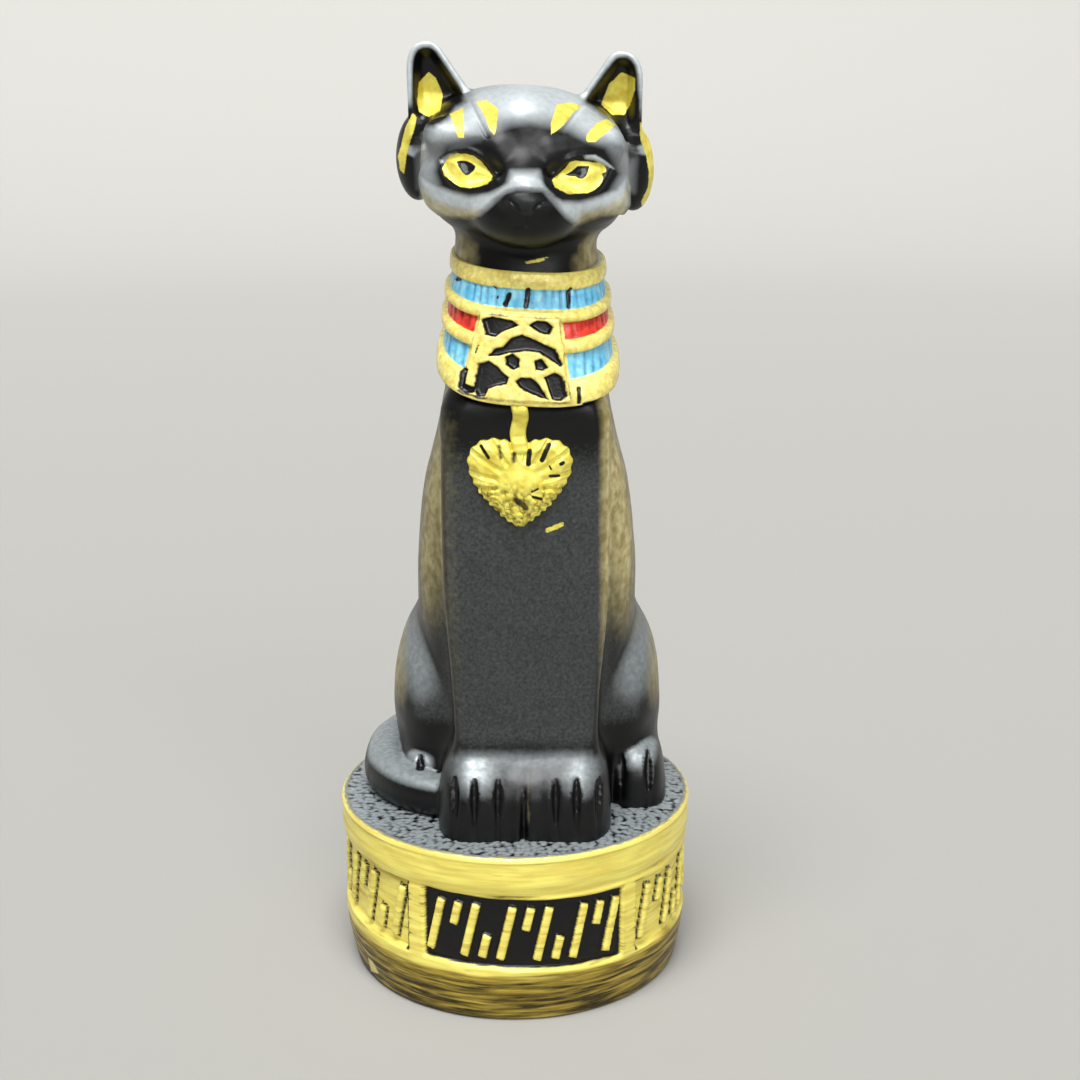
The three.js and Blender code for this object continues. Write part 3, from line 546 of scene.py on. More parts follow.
def makeBody():
    points, normals, quads, triangles = castSkin(bodyField, body["low"], body["high"], body["step"])
    x, y, z = points.T
    aside, sideways, upward = np.abs(x), np.abs(normals[:, 0]), normals[:, 2]
    right = x > 0
    # modelled by hand: the surface is never quite even
    lumps = 0.05 * grain(x, y, z, 3.1) + 0.02 * grain(x, y, z, 1.1, 1)
    points = points + normals * (lumps * ramp(z, -0.5, 1.5))[:, None]
    world = points + standing
    u, v = photoSpot(*world.T)
    front = ramp(-normals[:, 1], 0.5, 0.8)
    # bronze powder lies on the flanks and along the upright edges of the chest, in uneven sweeps,
    # with a painted highlight on each flank where it turns toward the light
    sweep = 0.5 + 0.5 * grain(x, y, z * 0.5, powder["sweep"])
    turned = (normals[:, 1] - powder["flankHighlightAim"]) / powder["flankHighlightSpread"]
    flank = ramp(sideways, *powder["flankTurn"]) * (1 - 0.45 * ramp(sideways, 0.88, 1.0))
    flank = flank * ramp(z, *powder["flankRise"]) * (0.3 + 0.9 * np.exp(-(turned**2)))
    flank = flank * (0.55 + 0.6 * sweep) * np.where(right, 1.1, 0.8 - 0.75 * ramp(-y, 7.6, 9.6))
    edge = ramp(aside, np.where(right, 5.9, 4.0), 7.0) * ramp(-y, 9.0, 11.0)
    edge = edge * ramp(z, *powder["edgeTop"]) * ramp(z, *powder["edgeFoot"])
    edge = edge * np.where(right, 0.4 + 0.4 * ramp(z, 18, 28), 0.04 + 0.1 * sweep)
    rim = 0.5 * ramp(aside, *powder["rimOut"]) * ramp(z, *powder["rimFoot"])
    rim = rim * ramp(z, *powder["rimTop"]) * ramp(y, 8, 4)
    seam = 0.12 * ramp(np.abs(x - 0.2), 0.26, 0.1) * (y < -11) * ramp(z, 0.8, 2) * ramp(z, 6.4, 5.4)
    # painted highlight in pale silver where the light catches the haunches, the feet and the tail, partly
    # silver dry-brush on the feet and the tail; silver specks dot the chest, under a painted sheen
    lit = 0.45 * sideways - 0.5 * normals[:, 1] + 0.74 * upward
    haunch = ramp(lit, *powder["haunchLit"]) * ramp(aside, *powder["haunchOut"])
    haunch = haunch * ramp(z, *powder["haunchFoot"]) * ramp(z, *powder["haunchTop"])
    paws = (aside < 7.6) & (y < -6)
    low = ramp(upward, np.where(paws, 0.12, 0.34), 0.8)
    low = low * ramp(z, np.where(paws, 9.6, 6.2), np.where(paws, 6.6, 5.6))
    shine = np.max([np.exp(-(((u - middle) / width) ** 2)) for middle, width in powder["shine"]], 0)
    low = low * np.where(paws, 0.16 + 0.6 * shine + 0.08 * grain(x, y, z, 2.2, 2), 0.78)
    # painted highlight across the tops of the toes
    toes = 0.3 * front * ramp(z, 4.2, 6.2) * ramp(z, 8.0, 6.6) * paws
    # fine pale specks of silver on the chest's front, with a painted sheen there
    dustAndSheen = front * 0.2 * ramp(z, *powder["dustAndSheenTop"]) * ramp(z, *powder["dustAndSheenFoot"])
    # black run into the slits between the toes and the groove between the forepaws
    ink = np.full(len(x), farAway)
    for foot in feet:
        height = foot["height"]
        for across in foot["slits"]:
            deep = np.maximum(np.abs(y - toeFront(z, foot, across)) - 0.7, 0)
            slit = np.hypot(x - foot["x"] - across, deep) - slitWidth(z, height) - 0.05
            ink = np.minimum(ink, np.where(z < toe["end"] * height, slit, farAway))
    groove = np.hypot(x - parting["x"], np.maximum(np.abs(y - parting["front"]) - 3.4, 0))
    groove = groove - parting["wide"] * ramp(z, parting["top"], parting["top"] - 1.5)
    ink = np.minimum(ink, np.where(z < parting["top"], groove, farAway))
    masks = {
        "bronze": veil(np.maximum(np.maximum(flank, edge), np.maximum(rim, seam))),
        "mistAndHighlight": veil(np.maximum(np.maximum(haunch, low), toes)),
        "dustAndSheen": veil(dustAndSheen),
        "ink": ink,
        "gold": np.where(front > 0.3, strokeDistance(u, v, strayDashes), farAway),
    }
    addPiece("cat_body", world, quads, triangles, masks, catPaint)


# Head, with ears and the tufts behind the cheeks, in its own frame: mirrored about x = 0

head = {
    "x": -0.05,
    "y": -4.5,
    "z": 57.6,
    "droop": 0.05,
    "neckTop": 56.5,
    "low": (-12.6, -16.0, 45.0),
    "high": (12.6, 7.2, 68.2),
    "step": 0.148,
}

face = {
    "skull": {"at": (0, 0.4, 0.3), "radii": (8.75, 8.0, 6.0), "squareness": 2.25},
    "jaw": {"at": (0, -1.2, -2.6), "radii": (7.9, 7.0, 4.3), "squareness": 2.2},
    "bridge": {"start": (0, -5.3, -0.4), "end": (0, -8.6, -2.1), "radii": (2.3, 2.05)},
    "stop": {"start": (0, -4.7, 2.8), "end": (0, -5.2, 0.2), "radii": (2.7, 2.3)},
    "cheek": {"start": (1.4, -8.2, -2.2), "end": (6.7, -4.6, -1.9), "radii": (1.4, 1.9)},
    "muzzle": {"at": (0, -7.0, -4.2), "radii": (4.0, 3.7, 2.5)},
    "nose": {"at": (0, -10.0, -2.9), "radii": (1.8, 1.1, 0.95)},
    "brow": {"start": (2.2, -7.1, 1.0), "end": (6.9, -5.0, 1.9), "radii": (1.0, 1.3)},
    "socket": {"at": (4.5, -8.7, -0.7), "radii": (2.8, 1.5, 1.3)},
}

# Eye in front view: middle, half length, heights of the upper and lower lids, degrees of tilt
eye = {"at": (4.5, -0.6), "half": 2.25, "upper": 1.25, "lower": 1.45, "tilt": 15}

ear = {
    # seen from the front: both feet, the bend on the outer side, and the tip
    "innerFoot": (4.5, 5.3),
    "outerFoot": (9.75, 3.3),
    "bend": (9.85, 7.0),
    "tip": (8.05, 9.4),
    "inward": 0.7,
    "ease": 0.15,
    "sink": 2.0,
    "front": -1.0,
    "footThickness": 4.2,
    "tipThickness": 1.5,
    "wall": 0.5,
    "hollow": 0.45,
    "round": 0.3,
}

ruff = {"at": (9.3, 3.6, -0.2), "radii": (1.85, 2.6, 3.65)}


def toHead(x, y, z):
    across = x - head["x"]
    return across, y - head["y"], z - head["z"] + head["droop"] * across


def eyeDistance(x, z):
    # almond in front view, negative inside: the inner corner is the lower one
    tilt = np.radians(eye["tilt"])
    dx, dz = np.abs(x) - eye["at"][0], z - eye["at"][1]
    run, rise = dx * np.cos(tilt) + dz * np.sin(tilt), dz * np.cos(tilt) - dx * np.sin(tilt)
    tall = np.where(rise > 0, eye["upper"], eye["lower"])
    share = run / eye["half"]
    lid = tall * (1 - share**2)
    steep = np.sqrt(1 + (2 * tall * share / eye["half"]) ** 2)
    return np.maximum((np.abs(rise) - lid) / steep, np.abs(run) - eye["half"])


def curved(start, control, end, steps=7):
    # points of a quadratic curve, without its last one
    t = np.arange(steps)[:, None] / steps
    start, control, end = (np.array(point, float) for point in (start, control, end))
    return [tuple(point) for point in (1 - t) ** 2 * start + 2 * t * (1 - t) * control + t**2 * end]


def earOutline():
    (footX, footZ), (tipX, top), (bendX, bendZ) = ear["innerFoot"], ear["tip"], ear["bend"]
    aimX = tipX - ear["inward"]
    eased = (aimX + (footX - aimX) * ear["ease"], top + (footZ - top) * ear["ease"])
    outline = [(footX, footZ - ear["sink"]), (ear["outerFoot"][0], ear["outerFoot"][1] - ear["sink"])]
    outline += curved((bendX, bendZ), (bendX, top), (tipX, top))
    outline += curved((tipX, top), (aimX, top), eased, 4)
    return outline + [eased, (footX, footZ)]


earLine = earOutline()


def earField(x, y, z):
    side = np.abs(x)
    rim = outlineDistance(side, z, earLine)
    footZ, tipZ = ear["innerFoot"][1], ear["tip"][1]
    share = np.clip((z - footZ) / (tipZ - footZ), -0.3, 1)
    thick = ear["footThickness"] + (ear["tipThickness"] - ear["footThickness"]) * share
    through = np.abs(y - ear["front"] - thick / 2) - thick / 2
    edge = ear["round"]
    outer = np.hypot(np.maximum(rim + edge, 0), np.maximum(through + edge, 0))
    plate = outer + np.minimum(np.maximum(rim, through) + edge, 0) - edge
    # the hollow slopes in steeply from its rim, and runs out on to the head at its foot
    deep = ramp(-rim, ear["wall"] * 0.7, ear["wall"] + 0.8) * ramp(z, 2.6, 5.6)
    floor = ear["front"] + ear["hollow"] * thick * deep
    bowl = np.maximum(y - floor, rim + ear["wall"] * 0.7)
    return smoothCut(plate, np.maximum(bowl, 2.8 - z), 0.25)


def headField(x, y, z):
    neck = loftField(x, y, z, body["torso"], body["torsoSquareness"])
    neck = np.maximum(neck, z - head["neckTop"])
    across, back, up = toHead(x, y, z)
    side = np.abs(across)
    spot = (side, back, up)
    distance = broadField(*spot, **face["skull"])
    distance = smoothJoin(distance, broadField(*spot, **face["jaw"]), 1.6)
    distance = smoothJoin(distance, limbField(*spot, **face["stop"]), 2.0)
    distance = smoothJoin(distance, limbField(*spot, **face["bridge"]), 1.4)
    distance = smoothJoin(distance, limbField(*spot, **face["cheek"]), 1.2)
    distance = smoothJoin(distance, ellipsoidField(*spot, **face["muzzle"]), 0.9)
    distance = smoothJoin(distance, ellipsoidField(*spot, **face["nose"]), 0.6)
    distance = smoothJoin(distance, limbField(*spot, **face["brow"]), 1.2)
    distance = smoothCut(distance, ellipsoidField(*spot, **face["socket"]), 0.5)
    distance = smoothJoin(distance, neck, 0.9)
    distance = smoothJoin(distance, ellipsoidField(*spot, **ruff), 0.35)
    return smoothJoin(distance, earField(across, back, up), 0.6)


# Marks brushed on the head, as outlines in pixels of the photograph
goldMarks = {
    "slashLeftOuter": [(450, 114), (463, 108), (464, 138), (458, 138), (454, 125)],
    "slashLeftInner": [(476, 101), (487, 100), (498, 109), (497, 121), (495, 136), (490, 130), (484, 115)],
    "slashRightInner": [(557, 104), (572, 102), (582, 107), (574, 112), (563, 126), (551, 135), (551, 122)],
    "slashRightOuter": [(598, 122), (607, 119), (615, 125), (606, 133), (595, 142), (586, 142), (587, 134)],
    "earLeft": [(429, 72), (436, 78), (443, 95), (440, 111), (429, 117), (419, 112), (417, 101), (419, 82)],
    "earRight": [(622, 72), (635, 78), (635, 90), (630, 105), (624, 115), (612, 115), (601, 104), (609, 84)],
    "ruffLeft": [
        (413, 113), (417, 117), (414, 130), (408, 148), (404, 174), (400, 170), (398, 156), (406, 126),
    ],
    "ruffRight": [
        (640, 121), (645, 128), (651, 142), (657, 160), (658, 184), (652, 191), (648, 203), (642, 206),
        (641, 202), (648, 187), (649, 172), (646, 155), (640, 138),
    ],
    "chinSmear": [(523, 262), (528, 264), (540, 262), (552, 256), (542, 258), (532, 260)],
    "neckDrop": [(534, 271.5), (536.2, 273), (536, 275.6), (534, 275.4), (533.2, 273)],
    "eyeLeft": [
        (442, 169), (445, 163), (449, 156), (457, 153.5), (467, 154), (474, 156), (480, 160), (485, 166),
        (492.5, 175.5), (491, 180), (487, 184), (479.5, 186.5), (469.5, 188), (461, 187), (455.5, 184),
        (450, 180), (444.5, 176),
    ],
    "eyeRight": [
        (552, 180), (558.5, 174), (564, 169.5), (570.5, 162), (575, 160.5), (591, 162), (599, 163),
        (604, 165), (606, 168.5), (605.5, 172), (601.5, 173.5), (603, 177), (602, 181), (600, 185),
        (595, 189.5), (588.5, 193), (580.5, 193.5), (567.5, 194), (560, 190), (554.5, 187),
    ],
}
inkMarks = {
    "pupilLeft": [
        (456, 161.5), (461, 160.5), (467, 161), (471.5, 163), (476, 166.5), (474, 170.5), (469.5, 174.5),
        (466, 175.5), (462, 172), (458.5, 166.5),
    ],
    "pupilRight": [
        (565, 175), (572, 171), (577.5, 166), (589.5, 166), (588.5, 170.5), (586, 176), (582, 179),
        (578.5, 178.5), (576, 176.5), (569.5, 176),
    ],
    "mouth": [(517, 224.5), (525, 222.5), (534, 226), (530, 228.5), (521, 228)],
    "nostrilLeft": [(508, 198.5), (512, 199), (518, 204), (522, 210.5), (520, 213), (514, 208), (509.5, 203)],
    "nostrilRight": [
        (547, 199.5), (542, 199), (536, 203), (531.5, 209.5), (533, 212), (540, 208), (545.5, 203.5),
    ],
}
# painted highlights: grey glints on the pupils
glintMarks = {
    "pupilLeft": [(460.5, 163.5), (464, 163), (467.5, 167), (468, 172), (465.5, 173.5), (462, 169)],
    "pupilRight": [(581, 168.5), (585.5, 168.5), (586.5, 172), (583.5, 176.5), (580, 176.5), (582, 172)],
}
# painted shade round the lids, in deep black
paintedShadeMarks = {
    "left": [
        (450, 181), (461, 188), (470, 189), (480, 187.5), (492, 181), (494, 175), (486, 164), (480, 157),
        (474, 152), (484, 153), (494, 158), (501, 165), (505, 173), (501, 179), (498, 185), (492, 190),
        (480, 193), (468, 193), (458, 190),
    ],
    "right": [
        (577, 158), (568, 163), (560, 171), (551, 180), (554, 188), (560, 192), (568, 195), (581, 194.5),
        (592, 192.5), (600, 187), (604, 182), (604, 175), (603, 172), (609, 172), (615, 176), (611, 180),
        (605, 186), (598, 193), (586, 198), (570, 199), (557, 197), (549, 190), (545, 180), (548, 169),
        (557, 159), (568, 152), (580, 151), (584, 156),
    ],
}
# painted shade: black inside the ears' hollows, and behind the cheek on one side
earShadeMarks = {
    "left": [
        (427, 54), (436, 52), (448, 70), (465, 102), (456, 107), (447, 120), (434, 127), (420, 126),
        (414, 118), (412, 100), (414, 76), (420, 60),
    ],
    "right": [
        (618, 60), (628, 56), (636, 66), (641, 100), (643, 140), (635, 150), (629, 130), (618, 120),
        (605, 117), (592, 107), (583, 102), (594, 88), (606, 70),
    ],
}
# painted highlights on the head: each outline with how softly it fades, in mm, and how full it is
paintedHighlightMarks = {
    "crown": ([
        (427, 138), (432, 120), (450, 110), (468, 102), (474, 88), (525, 72), (576, 88), (596, 106),
        (620, 125), (628, 150), (612, 144), (600, 140), (588, 136), (570, 126), (550, 122), (530, 118),
        (510, 121), (490, 128), (468, 133), (450, 139), (432, 144),
    ], 1.1, 0.85),
    "bridgeTop": ([(512, 172), (538, 172), (541, 186), (508, 186)], 0.6, 0.85),
    "bridgeFoot": ([
        (510, 178), (540, 178), (545, 187), (554, 195), (541, 191), (516, 190), (506, 193), (494, 200),
        (497, 190), (508, 183),
    ], 0.25, 0.8),
    "cheekLeft": ([
        (420, 176), (427, 180), (438, 187), (452, 192), (470, 196), (488, 194), (500, 189), (508, 188),
        (497, 200), (480, 215), (462, 215), (432, 212), (422, 203),
    ], 0.35, 0.92),
    "cheekRight": ([
        (543, 190), (552, 196), (562, 202), (580, 202), (600, 197), (616, 190), (626, 178), (629, 205),
        (622, 213), (600, 213), (587, 216), (575, 224), (566, 217), (556, 205),
    ], 0.35, 0.92),
    "templeLeft": ([(416, 140), (452, 138), (438, 156), (434, 172), (440, 188), (418, 188)], 0.7, 0.42),
    "templeRight": ([(600, 136), (636, 150), (634, 192), (612, 190), (622, 174), (612, 156)], 0.7, 0.45),
    "browLeft": ([(440, 138), (486, 133), (480, 141), (462, 147), (448, 150)], 0.9, 0.22),
    "muzzle": ([
        (502, 197), (512, 193), (545, 193), (556, 203), (560, 212), (548, 210), (532, 220), (522, 220),
        (510, 210), (498, 212),
    ], 0.7, 0.08),
    "lidRight": ([
        (584, 156), (595, 155), (604, 160), (615, 169), (603, 165), (594, 160), (585, 159),
    ], 0.1, 0.8),
    "lidLeft": ([(440, 163), (442, 158), (449, 154), (457, 152.5), (449, 158), (444, 163)], 0.1, 0.6),
    "tuftLeft": ([(408, 146), (426, 143), (426, 150), (418, 152), (414, 157), (406, 153)], 0.15, 0.8),
    "tuftRight": ([(630, 148), (645, 144), (647, 155), (640, 154), (630, 153)], 0.15, 0.8),
}
# where the cheeks' lower edges turn bronze, and the neck's sides
bronzeMarks = {
    "cheekLeft": ([
        (422, 188), (434, 200), (455, 208), (482, 210), (474, 219), (450, 217), (422, 212),
    ], 0.3, 0.6),
    "cheekRight": ([
        (630, 186), (620, 200), (600, 208), (580, 214), (574, 226), (600, 216), (626, 215),
    ], 0.3, 0.6),
    "neckLeft": ([(450, 236), (462, 232), (478, 245), (476, 262), (462, 268), (446, 262)], 0.5, 0.35),
    "neckRight": ([(606, 230), (592, 234), (580, 246), (580, 262), (592, 266), (610, 258)], 0.5, 0.6),
}
# the upper face stands out over the muzzle like a mask
upperFace = [
    (396, 60), (650, 60), (650, 213), (600, 213), (586, 216), (574, 224), (565, 217), (556, 205), (549, 196),
    (541, 191), (516, 190), (506, 193.5), (493, 203), (480, 215), (470, 216), (455, 214), (396, 213),
]
# lines carved beside the brow's slashes and at the mouth, with their width in pixels
carvedLines = [
    ([(470, 102), (477, 117), (487, 136)], 3.5),
    ([(583, 105), (573, 118), (562, 132)], 3.5),
    ([(526, 212), (526, 222)], 3.0),
    ([(516, 228), (525, 225), (534, 228)], 3.0),
]


# Relief on the face, in mm: how far the eyes, the lids round them and the mask stand out, and how
# deep the pupils, the nostrils and the carved lines are sunk
relief = {
    "eye": 0.42,
    "lid": 0.26,
    "lidAway": 0.22,
    "lidWide": 0.2,
    "mask": 0.34,
    "pupil": 0.07,
    "nostril": 0.24,
    "line": 0.14,
}

# Painted highlight and powder on the head, with pairs as on the body: painted highlight on the ears' rims and
# the crown, bronze powder on the neck's sides
headPowder = {
    "rim": 0.95,
    "rimNear": (0.5, 0.15),
    "rimRise": (3.6, 5.0),
    "crownTurn": (0.5, 0.9),
    "crownRise": (2.5, 4.5),
    "neck": 0.6,
    "neckTurn": (0.45, 0.9),
    "neckFall": (-6.5, -8.0),
}


def fullest(u, v, areas):
    # how full the fullest of several soft-edged areas is at each point
    total = np.zeros(u.shape)
    for outline, soft, full in areas.values():
        total = np.maximum(total, full * ramp(-markDistance(u, v, [outline]), -soft, soft))
    return total


def makeHead():
    points, normals, quads, triangles = castSkin(headField, head["low"], head["high"], head["step"])
    x, y, z = points.T
    across, back, up = toHead(x, y, z)
    facing = ramp(-normals[:, 1], -0.1, 0.3)
    front = facing * ramp(back, -3.0, -4.5)
    u, v = photoSpot(*(points + standing).T)
    # eyes stand out of their sockets as almonds, with a raised lid round each
    lid = eyeDistance(across, up)
    raised = relief["eye"] * ramp(-lid, -0.1, 1.1)
    raised = raised + relief["lid"] * np.exp(-((lid - relief["lidAway"]) / relief["lidWide"]) ** 2)
    pupil = markDistance(u, v, [inkMarks["pupilLeft"], inkMarks["pupilRight"]])
    raised = raised - relief["pupil"] * ramp(-pupil, -0.1, 0.15)
    mask = markDistance(u, v, [upperFace])
    raised = raised + relief["mask"] * ramp(-mask, -0.12, 0.14) * ramp(-mask, 1.9, 0.5)
    lumps = 0.03 * grain(x, y, z, 2.3) + 0.015 * grain(x, y, z, 0.8, 1)
    nostrils = markDistance(u, v, [inkMarks["nostrilLeft"], inkMarks["nostrilRight"]])
    carved = relief["nostril"] * ramp(-nostrils, -0.05, 0.25)
    carved = carved + relief["line"] * ramp(-strokeDistance(u, v, carvedLines), -0.1, 0.1)
    points = points + normals * ((raised - carved) * front + lumps)[:, None]
    world = points + standing
    u, v = photoSpot(*world.T)
    seen = facing > 0.1
    ears = outlineDistance(np.abs(across), up, earLine)
    # the painted shade inside the ears fades out more softly than the painted shade round the lids
    earShade = np.where(seen, 0.6 * markDistance(u, v, list(earShadeMarks.values())), farAway)
    sideways, upward = np.abs(normals[:, 0]), normals[:, 2]
    # painted highlights: on the ears' rims, on the crown where it turns up to the light, and in the marked
    # areas of the face
    rims = ramp(np.abs(ears + 0.15), *headPowder["rimNear"]) * ramp(up, *headPowder["rimRise"])
    rims = rims * (back > -1.6)
    above = ramp(upward, *headPowder["crownTurn"]) * ramp(up, *headPowder["crownRise"])
    above = above * ramp(normals[:, 1], 0.0, 0.3)
    mistAndHighlight = np.where(normals[:, 1] < 0.25, fullest(u, v, paintedHighlightMarks), 0)
    mistAndHighlight = mistAndHighlight * ((ears > -0.3) | (back < -1.5))
    mistAndHighlight = np.maximum(mistAndHighlight, np.maximum(above, headPowder["rim"] * rims))
    bronze = headPowder["neck"] * ramp(sideways, *headPowder["neckTurn"])
    bronze = bronze * ramp(up, *headPowder["neckFall"])
    bronze = np.maximum(bronze, fullest(u, v, bronzeMarks) * ramp(-normals[:, 1], 0.0, 0.3))
    masks = {
        "bronze": veil(bronze),
        "mistAndHighlight": veil(mistAndHighlight),
        "shade": np.minimum(brushed(u, v, paintedShadeMarks, seen), earShade),
        "gold": brushed(u, v, goldMarks, seen | ((ears < 0) & (normals[:, 1] < 0.2))),
        "ink": brushed(u, v, inkMarks, seen),
        "glint": brushed(u, v, glintMarks, seen),
    }
    addPiece("cat_head", world, quads, triangles, masks, headPaint)


def ringSkin(rings):
    # closes a stack of rings, each counterclockwise seen from above, with a fan at either end
    rows, columns = rings.shape[:2]
    points = np.concatenate([rings.reshape(-1, 3), [rings[0].mean(0), rings[-1].mean(0)]])
    here = np.arange(columns)
    ahead = (here + 1) % columns
    starts = np.arange(rows - 1)[:, None] * columns
    quads = np.stack([starts + here, starts + ahead, starts + columns + ahead, starts + columns + here], -1)
    last = (rows - 1) * columns
    below = np.stack([np.full(columns, rows * columns), ahead, here], 1)
    above = np.stack([np.full(columns, rows * columns + 1), last + here, last + ahead], 1)
    return points, quads.reshape(-1, 4), np.concatenate([below, above])


def ringMask(values):
    # a mask worked out on the rings, with a value for each end's middle
    return np.concatenate([values.ravel(), [values[0].mean(), values[-1].mean()]])


# Collar: stepped bands with ribbed cells, and a plaque over its front

collar = {
    "middle": 0.2,
    "top": 48.85,
    "depth": 10.7,
    "rise": 0.12,
    "fall": 0.052,
    "bow": 1.6,
    "topHalf": 6.4,
    "topFront": -10.9,
    "topBack": 4.2,
    "bottomHalf": 7.3,
    "bottomFront": -13.2,
    "bottomBack": 7.0,
    "topSquareness": 2.4,
    "bottomSquareness": 4.6,
    # lower edge below the rim, how far the band stands out, and its crown
    "bands": [
        (1.3, 0.2, 0.08),
        (3.0, 0.0, 0.0),
        (3.9, 0.35, 0.12),
        (5.4, 0.05, 0.0),
        (6.4, 0.4, 0.12),
        (8.6, 0.1, 0.0),
        (10.7, 0.45, 0.16),
    ],
    # which band each row of cells lies in, and how far it keeps clear of the plaque: 0 runs on
    "cells": {"blue": (1, 0), "red": (3, 0.3), "lowBlue": (5, 0.25)},
    # rows over the rim, by how far they lie below it, and under the foot; then how far out they are
    "lip": [(-0.04, 0.12), (-0.03, -0.08), (0.02, -0.5), (0.1, -0.62), (0.5, -0.7), (0.6, -2.4)],
    "under": [(0.3, -2.6), (0.12, -0.5), (0.06, 0.15)],
    "marksOut": 0.3,
    "ribs": 0.95,
    "ribDepth": 0.13,
    "columns": 480,
    "rowStep": 0.09,
}

plaque = {
    "topMiddle": -0.4,
    "bottomMiddle": -0.8,
    "top": 3.5,
    "bottom": 10.4,
    "topHalf": 3.2,
    "bottomHalf": 4.5,
    "proud": 0.6,
    "sunk": 0.42,
}

# Hollows of the plaque, in pixels of the photograph: the wings, legs and disc stand between them
plaqueHollows = {
    "topLeft": [(483, 319), (494, 316), (513, 320), (520, 325), (503, 332), (497, 337), (487, 335)],
    "topRight": [(528, 325), (536, 320), (546, 321), (553, 327), (548, 335), (539, 333)],
    "arch": [
        (489, 356), (496, 348), (504, 346), (512, 337), (522, 334), (532, 338), (544, 344), (555, 349),
        (562, 365), (559, 367), (550, 360), (539, 353), (527, 351), (510, 353), (499, 356),
    ],
    "dotLeft": [(506, 356), (513, 353), (520, 358), (520, 367), (514, 370), (506, 365)],
    "dotRight": [(534, 360), (541, 358), (548, 367), (543, 371), (535, 370)],
    "lowerLeft": [
        (480, 363), (490, 360), (499, 366), (504, 372), (510, 377), (508, 384), (498, 386), (490, 389),
        (487, 396), (479, 397), (475, 389), (477, 377),
    ],
    "slot": [(461, 368), (471, 368), (468, 383), (477, 387), (476, 393), (466, 393), (459, 388)],
    "lowerMiddle": [
        (515, 381), (521, 377), (531, 377), (538, 383), (545, 394), (548, 400), (539, 397), (529, 393),
        (520, 388),
    ],
    "lowerRight": [(543, 377), (553, 372), (562, 376), (567, 396), (560, 401), (551, 400), (546, 384)],
}

# Where the black shows through the collar's paint, as strokes with their width
collarNicks = [
    ([(508.4, 295.2), (504.2, 304.4)], 6),
    ([(528, 290.3), (525.9, 306.5)], 6),
    ([(571.5, 289.6), (570.8, 307.2)], 5),
    ([(453.7, 279), (455, 279)], 5),
    ([(493, 287.5), (494, 288)], 3),
    ([(495.8, 297.3), (496, 298)], 3),
    ([(577, 388), (578, 402)], 5),
    ([(583, 404), (592, 402), (600, 399)], 4),
    ([(478, 352), (481, 345)], 2),
]


def collarPoint(turn, drop, out):
    share = drop / collar["depth"]
    half = collar["topHalf"] + (collar["bottomHalf"] - collar["topHalf"]) * share + out
    front = collar["topFront"] + (collar["bottomFront"] - collar["topFront"]) * share - out
    back = collar["topBack"] + (collar["bottomBack"] - collar["topBack"]) * share + out
    square = collar["topSquareness"] + (collar["bottomSquareness"] - collar["topSquareness"]) * share
    square = np.where(np.cos(turn) > 0, square, collar["topSquareness"])
    reach = (np.abs(np.sin(turn)) ** square + np.abs(np.cos(turn)) ** square) ** (1 / square)
    u, v = np.sin(turn) / reach, -np.cos(turn) / reach
    y = (front + back) / 2 + v * (back - front) / 2
    lift = collar["rise"] * (y - front) + collar["bow"] * share * np.abs(u) ** 3
    z = collar["top"] - drop + lift - collar["fall"] * u * half
    return np.stack([collar["middle"] + u * half, y, z], -1)


def collarOut(drop):
    # the stepped profile: crowned ridges between flat cells
    total = np.zeros(drop.shape)
    upper = 0
    before = collar["bands"][0][1]
    for lower, out, crown in collar["bands"]:
        share = np.clip((drop - upper) / (lower - upper), 0, 1)
        band = out + crown * (1 - (2 * share - 1) ** 2)
        step = before + (band - before) * ramp(drop, upper - 0.01, upper + 0.16)
        total = np.where(drop >= upper, step, total)
        upper, before = lower, out
    return total


def plaqueDistance(x, drop):
    share = (drop - plaque["top"]) / (plaque["bottom"] - plaque["top"])
    half = plaque["topHalf"] + (plaque["bottomHalf"] - plaque["topHalf"]) * share
    middle = plaque["topMiddle"] + (plaque["bottomMiddle"] - plaque["topMiddle"]) * share
    return np.maximum(np.abs(x - middle) - half, np.maximum(plaque["top"] - drop, drop - plaque["bottom"]))


